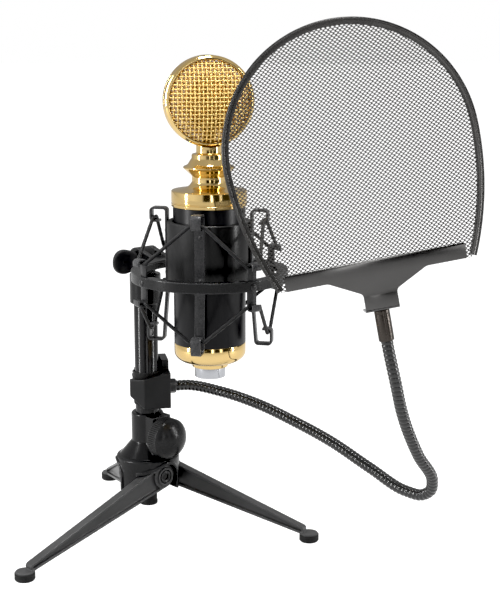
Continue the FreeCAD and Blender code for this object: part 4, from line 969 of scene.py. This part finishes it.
def cords():
    """Elastic cords laced between the cradle's hooks and the ring's posts."""
    half = 4.5
    for word, cradle_r, cradle_z, post_z in (("upper", 35.6, 229.0, 205.4), ("lower", 38.2, 157.4, 180.8)):
        hooks = sorted([(a % 360, cradle_r, cradle_z) for a in CRADLE_AZIMUTHS]
                       + [(a % 360, 49.75, post_z) for a in POST_AZIMUTHS])
        corners = []
        for azimuth, radius, z in hooks:
            out, across = azimuth_dir(azimuth), azimuth_dir(azimuth + 90)
            middle = MIC + out * radius + UP * z
            corners += [middle - across * half, middle + across * half]
        path = []
        for before, here, after in zip(corners[-1:] + corners, corners, corners[1:] + corners[:1]):
            into, out = (before - here).normalized(), (after - here).normalized()
            bend = 1.3
            for k in range(5):
                t = k / 4
                path.append(here + into * bend * (1 - t) ** 2 + out * bend * t ** 2)
            reach = (after - here).length
            steps = max(2, int(reach / 1.0))
            for k in range(1, steps):
                t = bend / reach + (1 - 2 * bend / reach) * k / steps
                path.append(here.lerp(after, t))

        def strands(i, angle):
            return 1 + 0.06 * math.cos(6 * angle + i * 0.9)

        mesh = sweep(path, circle(1.13, 18), closed=True, size=strands)
        piece = make(f"elastic_cord_{word}", *mesh, None, "cord", "cord", ("cord_" + word,), sharp=180)
        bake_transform(piece)


# ---- microphone
def mic_body():
    place = on_mic()
    low, high = 149.5, 237.3
    tube = rounded([(21.4, low), (22.9, low), (22.9, high), (21.4, high)], 0.18, 3)
    make("mic_tube", *revolve(tube, 144), "mic", "mic_black", "tube", ("body_tube",), place)

    quarter = [math.pi / 2 * k / 14 for k in range(15)]
    bowl = [(11.7 + 11.25 * math.sin(angle), 143.4 - 7.2 * math.cos(angle)) for angle in quarter]
    cap = [(9.25, 133.3), (11.0, 133.3), (11.45, 133.45), (11.7, 133.9), (11.7, 135.6), (11.95, 136.0)] + bowl[1:]
    cap += [(22.95, 149.1), (22.8, 149.45), (21.3, 149.5), (21.3, 152.9), (19.8, 152.9), (19.8, 143.4),
            (11.8, 138.2), (9.25, 138.2)]
    make("mic_bottom_cap", *revolve(cap, 144), "mic", "gold", "gold", ("bottom_cap",), place)

    collar = [(18.8, 233.4), (21.3, 233.4), (21.3, 237.3), (23.6, 237.32), (23.9, 237.6), (23.9, 239.3),
              (23.7, 239.5), (23.55, 239.55), (23.55, 240.05), (23.7, 240.1), (23.9, 240.3), (23.9, 246.5),
              (23.75, 247.0), (23.3, 247.35), (22.2, 247.55), (20.2, 247.9), (17.6, 248.35), (15.2, 248.8),
              (13.5, 249.4), (12.4, 250.3), (11.6, 251.4), (11.0, 252.2), (10.8, 253.0), (10.8, 255.6),
              (3.2, 255.6), (3.2, 250.0), (8.0, 250.0), (19.4, 244.9), (18.8, 243.5)]
    make("mic_top_collar", *revolve(collar, 144), "mic", "gold", "gold", ("top_collar",), place)


def head_place():
    z = node_middle("head_rim").z
    return frame_of(MIC + UP * z, UP, azimuth_dir(HEAD_AZIMUTH))


def mic_head():
    neck = [(3.2, 255.6), (10.8, 255.6), (11.0, 256.2), (11.6, 257.0), (12.8, 258.0), (15.2, 260.2),
            (15.95, 260.8), (16.3, 261.4), (16.1, 262.0), (15.4, 262.5), (13.9, 263.0), (12.9, 264.2),
            (12.1, 265.6), (11.3, 266.7), (10.9, 267.4), (10.9, 269.2), (10.6, 269.8), (10.0, 270.1),
            (8.6, 270.3), (8.1, 270.8), (8.0, 271.6), (8.0, 279.0), (3.2, 279.0)]
    verts, faces = revolve(neck, 96)
    centre_z = node_middle("head_rim").z
    fitted = []
    for x, y, z in verts:
        if z > 276.0:
            z = centre_z - math.sqrt(max(28.25 ** 2 - y * y, 0))
        fitted.append((x, y, z))
    make("mic_head_neck", fitted, faces, "mic", "gold", "gold", ("head_neck",), on_mic(HEAD_AZIMUTH))

    rim = rounded([(25.6, -6.5), (26.6, -6.5), (28.2, -5.0), (28.2, -2.0), (27.9, -1.7), (27.9, 1.7), (28.2, 2.0),
                   (28.2, 5.0), (26.6, 6.5), (25.6, 6.5), (25.6, 5.3), (25.15, 5.0), (25.15, -5.0), (25.6, -5.3)],
                  [0.3, 0.9, 1.2, 0.3, 0.2, 0.2, 0.3, 1.2, 0.9, 0.3, 0.1, 0.2, 0.2, 0.1], 4)
    make("mic_head_ring", *revolve(rim, 160), "mic", "gold", "gold", ("head_rim",), head_place())
    for word, side in (("front", 1), ("back", -1)):
        grille(word, side)


def dome_height(x, y, offset):
    """Height of the grille's dome over the rim's middle plane."""
    edge_r, edge_n, bulge = 25.6, 5.5, 6.5
    ball = (edge_r ** 2 + bulge ** 2) / (2 * bulge) + offset
    inside = ball * ball - x * x - y * y
    return edge_n + bulge - (ball - offset) + math.sqrt(max(inside, 0))


def woven_dome(pitch, wire_r, wave, offset, sides, step, side, edge):
    """Two sets of wires woven over and under each other on the dome."""
    pieces = []
    count = int(edge / pitch)
    for across in (0, 1):
        for i in range(-count, count + 1):
            fixed = i * pitch
            reach = math.sqrt(max(edge ** 2 - fixed ** 2, 0))
            if reach < 1.5:
                continue
            steps = max(4, int(2 * reach / step))
            path = []
            for k in range(steps + 1):
                s = -reach + 2 * reach * k / steps
                lift = wave * math.cos(math.pi * (s / pitch + i)) * (1 if across else -1)
                x, y = (s, fixed) if across else (fixed, s)
                path.append((x, y, (dome_height(x, y, offset) + lift) * side))
            pieces.append(sweep(path, circle(wire_r, sides)))
    return merged(*pieces)


def grille(word, side):
    """Coarse woven wire over a fine inner gauze."""
    pitch = 2.55
    coarse = woven_dome(pitch, 0.47, 0.42, -0.35, 7, 0.42, side, 25.35)
    make(f"grille_weave_{word}", *coarse, "mic", "gold_mesh", "gold_wire", ("grille_" + word,), head_place(),
         sharp=180)
    fine_pitch = 0.85
    fine = woven_dome(fine_pitch, 0.17, 0.13, -1.6, 4, 0.28, side, 24.9)
    make(f"grille_gauze_{word}", *fine, "mic", "gold_mesh", "gold_fine", (), head_place(), sharp=180)


def connector():
    """The plug under the microphone: a plain turned chrome shell, drawn without its key slot. The insert and three
    pins keep their CAD shapes.
    """
    shell = rounded([(9.15, 126.6), (9.8, 126.6), (9.8, 133.3), (9.2, 133.3), (9.2, 140.1), (8.4, 140.1),
                     (8.4, 127.4)], [0.2, 0.35, 0.05, 0.05, 0.1, 0.1, 0.4], 3)
    make("connector_plug_shell", *revolve(shell, 96), "mic", "connector_chrome", "chrome",
         ("connector_shell",), on_mic())


def carried_nodes():
    """CAD nodes whose own shape is right get their finish here."""
    looks = {
        "height_screw": "screw", "height_pad": "rubber", "clamp_screw": "screw", "clamp_pad": "rubber",
        "connector_insert": "shell_textured", "connector_pins": "gold", "capsule": "capsule",
        "capsule_saddle": "clamp", "chassis_frame": "chassis", "circuit_board": "board",
    }
    for node, look in looks.items():
        data = frame["nodes"][node].data
        data.materials.clear()
        data.materials.append(M[look])


# ---- stage
CAMERA_FROM_ROD = Vector((71.0, -900.0, 355.5))
CAMERA_PITCH = 78.1
LENS, SENSOR = 81.5, 36.0
LIT_MIDDLE = Vector((0, 0, 0.18))


def area_light(name, at, size, power):
    """A rectangular light that faces the middle of the object."""
    data = bpy.data.lights.new(name, "AREA")
    data.shape = "RECTANGLE"
    data.size, data.size_y = size
    data.energy = power
    light = put_in_scene(name, data)
    light.location = at
    light.rotation_euler = (LIT_MIDDLE - Vector(at)).to_track_quat("-Z", "Y").to_euler()


def surroundings():
    """A ring of soft panels low down, pale above, with the dark room behind the camera."""
    world = bpy.data.worlds.new("studio")
    bpy.context.scene.world = world
    n = Nodes(world)
    n.tree.nodes.clear()
    seen, lit = n.add("ShaderNodeBackground"), n.add("ShaderNodeBackground")
    n.plug(grey(1.0), seen.inputs["Color"])
    parts = n.add("ShaderNodeSeparateXYZ")
    n.plug(n.add("ShaderNodeTexCoord").outputs["Generated"], parts.inputs[0])
    turn = n.calculate("ARCTAN2", parts.outputs["X"], parts.outputs["Y"])
    ramp = n.add("ShaderNodeValToRGB")
    n.plug(n.remap(turn, -math.pi, math.pi), ramp.inputs[0])
    stops = ((0.0, 0.03), (0.04, 0.03), (0.055, 0.7), (0.13, 1.0), (0.25, 0.8), (0.36, 0.5), (0.5, 0.35),
             (0.64, 0.5), (0.75, 0.85), (0.785, 0.9), (0.80, 0.05), (0.885, 0.03), (0.89, 2.5), (0.905, 2.5),
             (0.91, 0.03), (0.953, 0.03), (0.961, 0.5), (0.97, 4.0), (0.98, 4.0), (0.984, 0.03), (1.0, 0.03))
    panels = ramp.color_ramp.elements
    for position, _ in stops[1:-1]:
        panels.new(position)
    for panel, (_, value) in zip(panels, stops):
        panel.color = (*grey(value), 1)
    high = n.remap(parts.outputs["Z"], 0.3, 0.6)
    n.plug(n.blend(high, ramp.outputs[0], grey(0.5)), lit.inputs["Color"])
    mix, out = n.add("ShaderNodeMixShader"), n.add("ShaderNodeOutputWorld")
    shaders = (n.add("ShaderNodeLightPath").outputs["Is Camera Ray"], lit.outputs[0], seen.outputs[0])
    for shader, socket in zip(shaders, mix.inputs):
        n.plug(shader, socket)
    n.plug(mix.outputs[0], out.inputs[0])


def studio():
    surroundings()
    floor = Look("floor")
    floor.set(colour=floor.blend(floor.noise(6, 3), grey(0.33), grey(0.36)), rough=0.8, specular=0.1)
    ray = floor.add("ShaderNodeLightPath").outputs
    glow = floor.calculate("ADD", floor.times(ray["Is Camera Ray"], 0.93), floor.times(ray["Is Glossy Ray"], 0.55))
    floor.plug(grey(1.0), floor.shader.inputs["Emission Color"])
    floor.plug(glow, floor.shader.inputs["Emission Strength"])
    size = 9000
    mesh = bpy.data.meshes.new("floor")
    corners = [(-size, -size, 0), (size, -size, 0), (size, size, 0), (-size, size, 0)]
    mesh.from_pydata([Vector(c) * MM for c in corners], [], [(0, 1, 2, 3)])
    mesh.materials.append(floor.material)
    put_in_scene("floor", mesh)
    area_light("top_box", (0.1, -0.3, 1.5), (0.35, 0.35), 14)
    area_light("left_box", (-1.2, -0.45, 0.6), (0.08, 1.1), 11)
    area_light("right_box", (1.2, -0.3, 0.6), (0.08, 1.1), 9)


def camera():
    data = bpy.data.cameras.new("camera")
    data.lens = LENS
    data.sensor_width = SENSOR
    data.clip_end = 50
    view = put_in_scene("camera", data)
    view.location = (CAMERA_FROM_ROD + ROD) * MM
    view.rotation_euler = (math.radians(CAMERA_PITCH), 0, 0)
    bpy.context.scene.camera = view
    shown = bpy.context.scene.view_settings
    shown.view_transform = "Standard"
    shown.use_curve_mapping = True
    shown.curve_mapping.black_level = grey(0.014)
    shown.curve_mapping.update()


tripod()
rod_parts()
filter_clamp()
gooseneck()
filter_rim()
filter_mesh()
filter_bracket()
ferrule()
shock_mount()
mic_body()
mic_head()
connector()
carried_nodes()
studio()
camera()
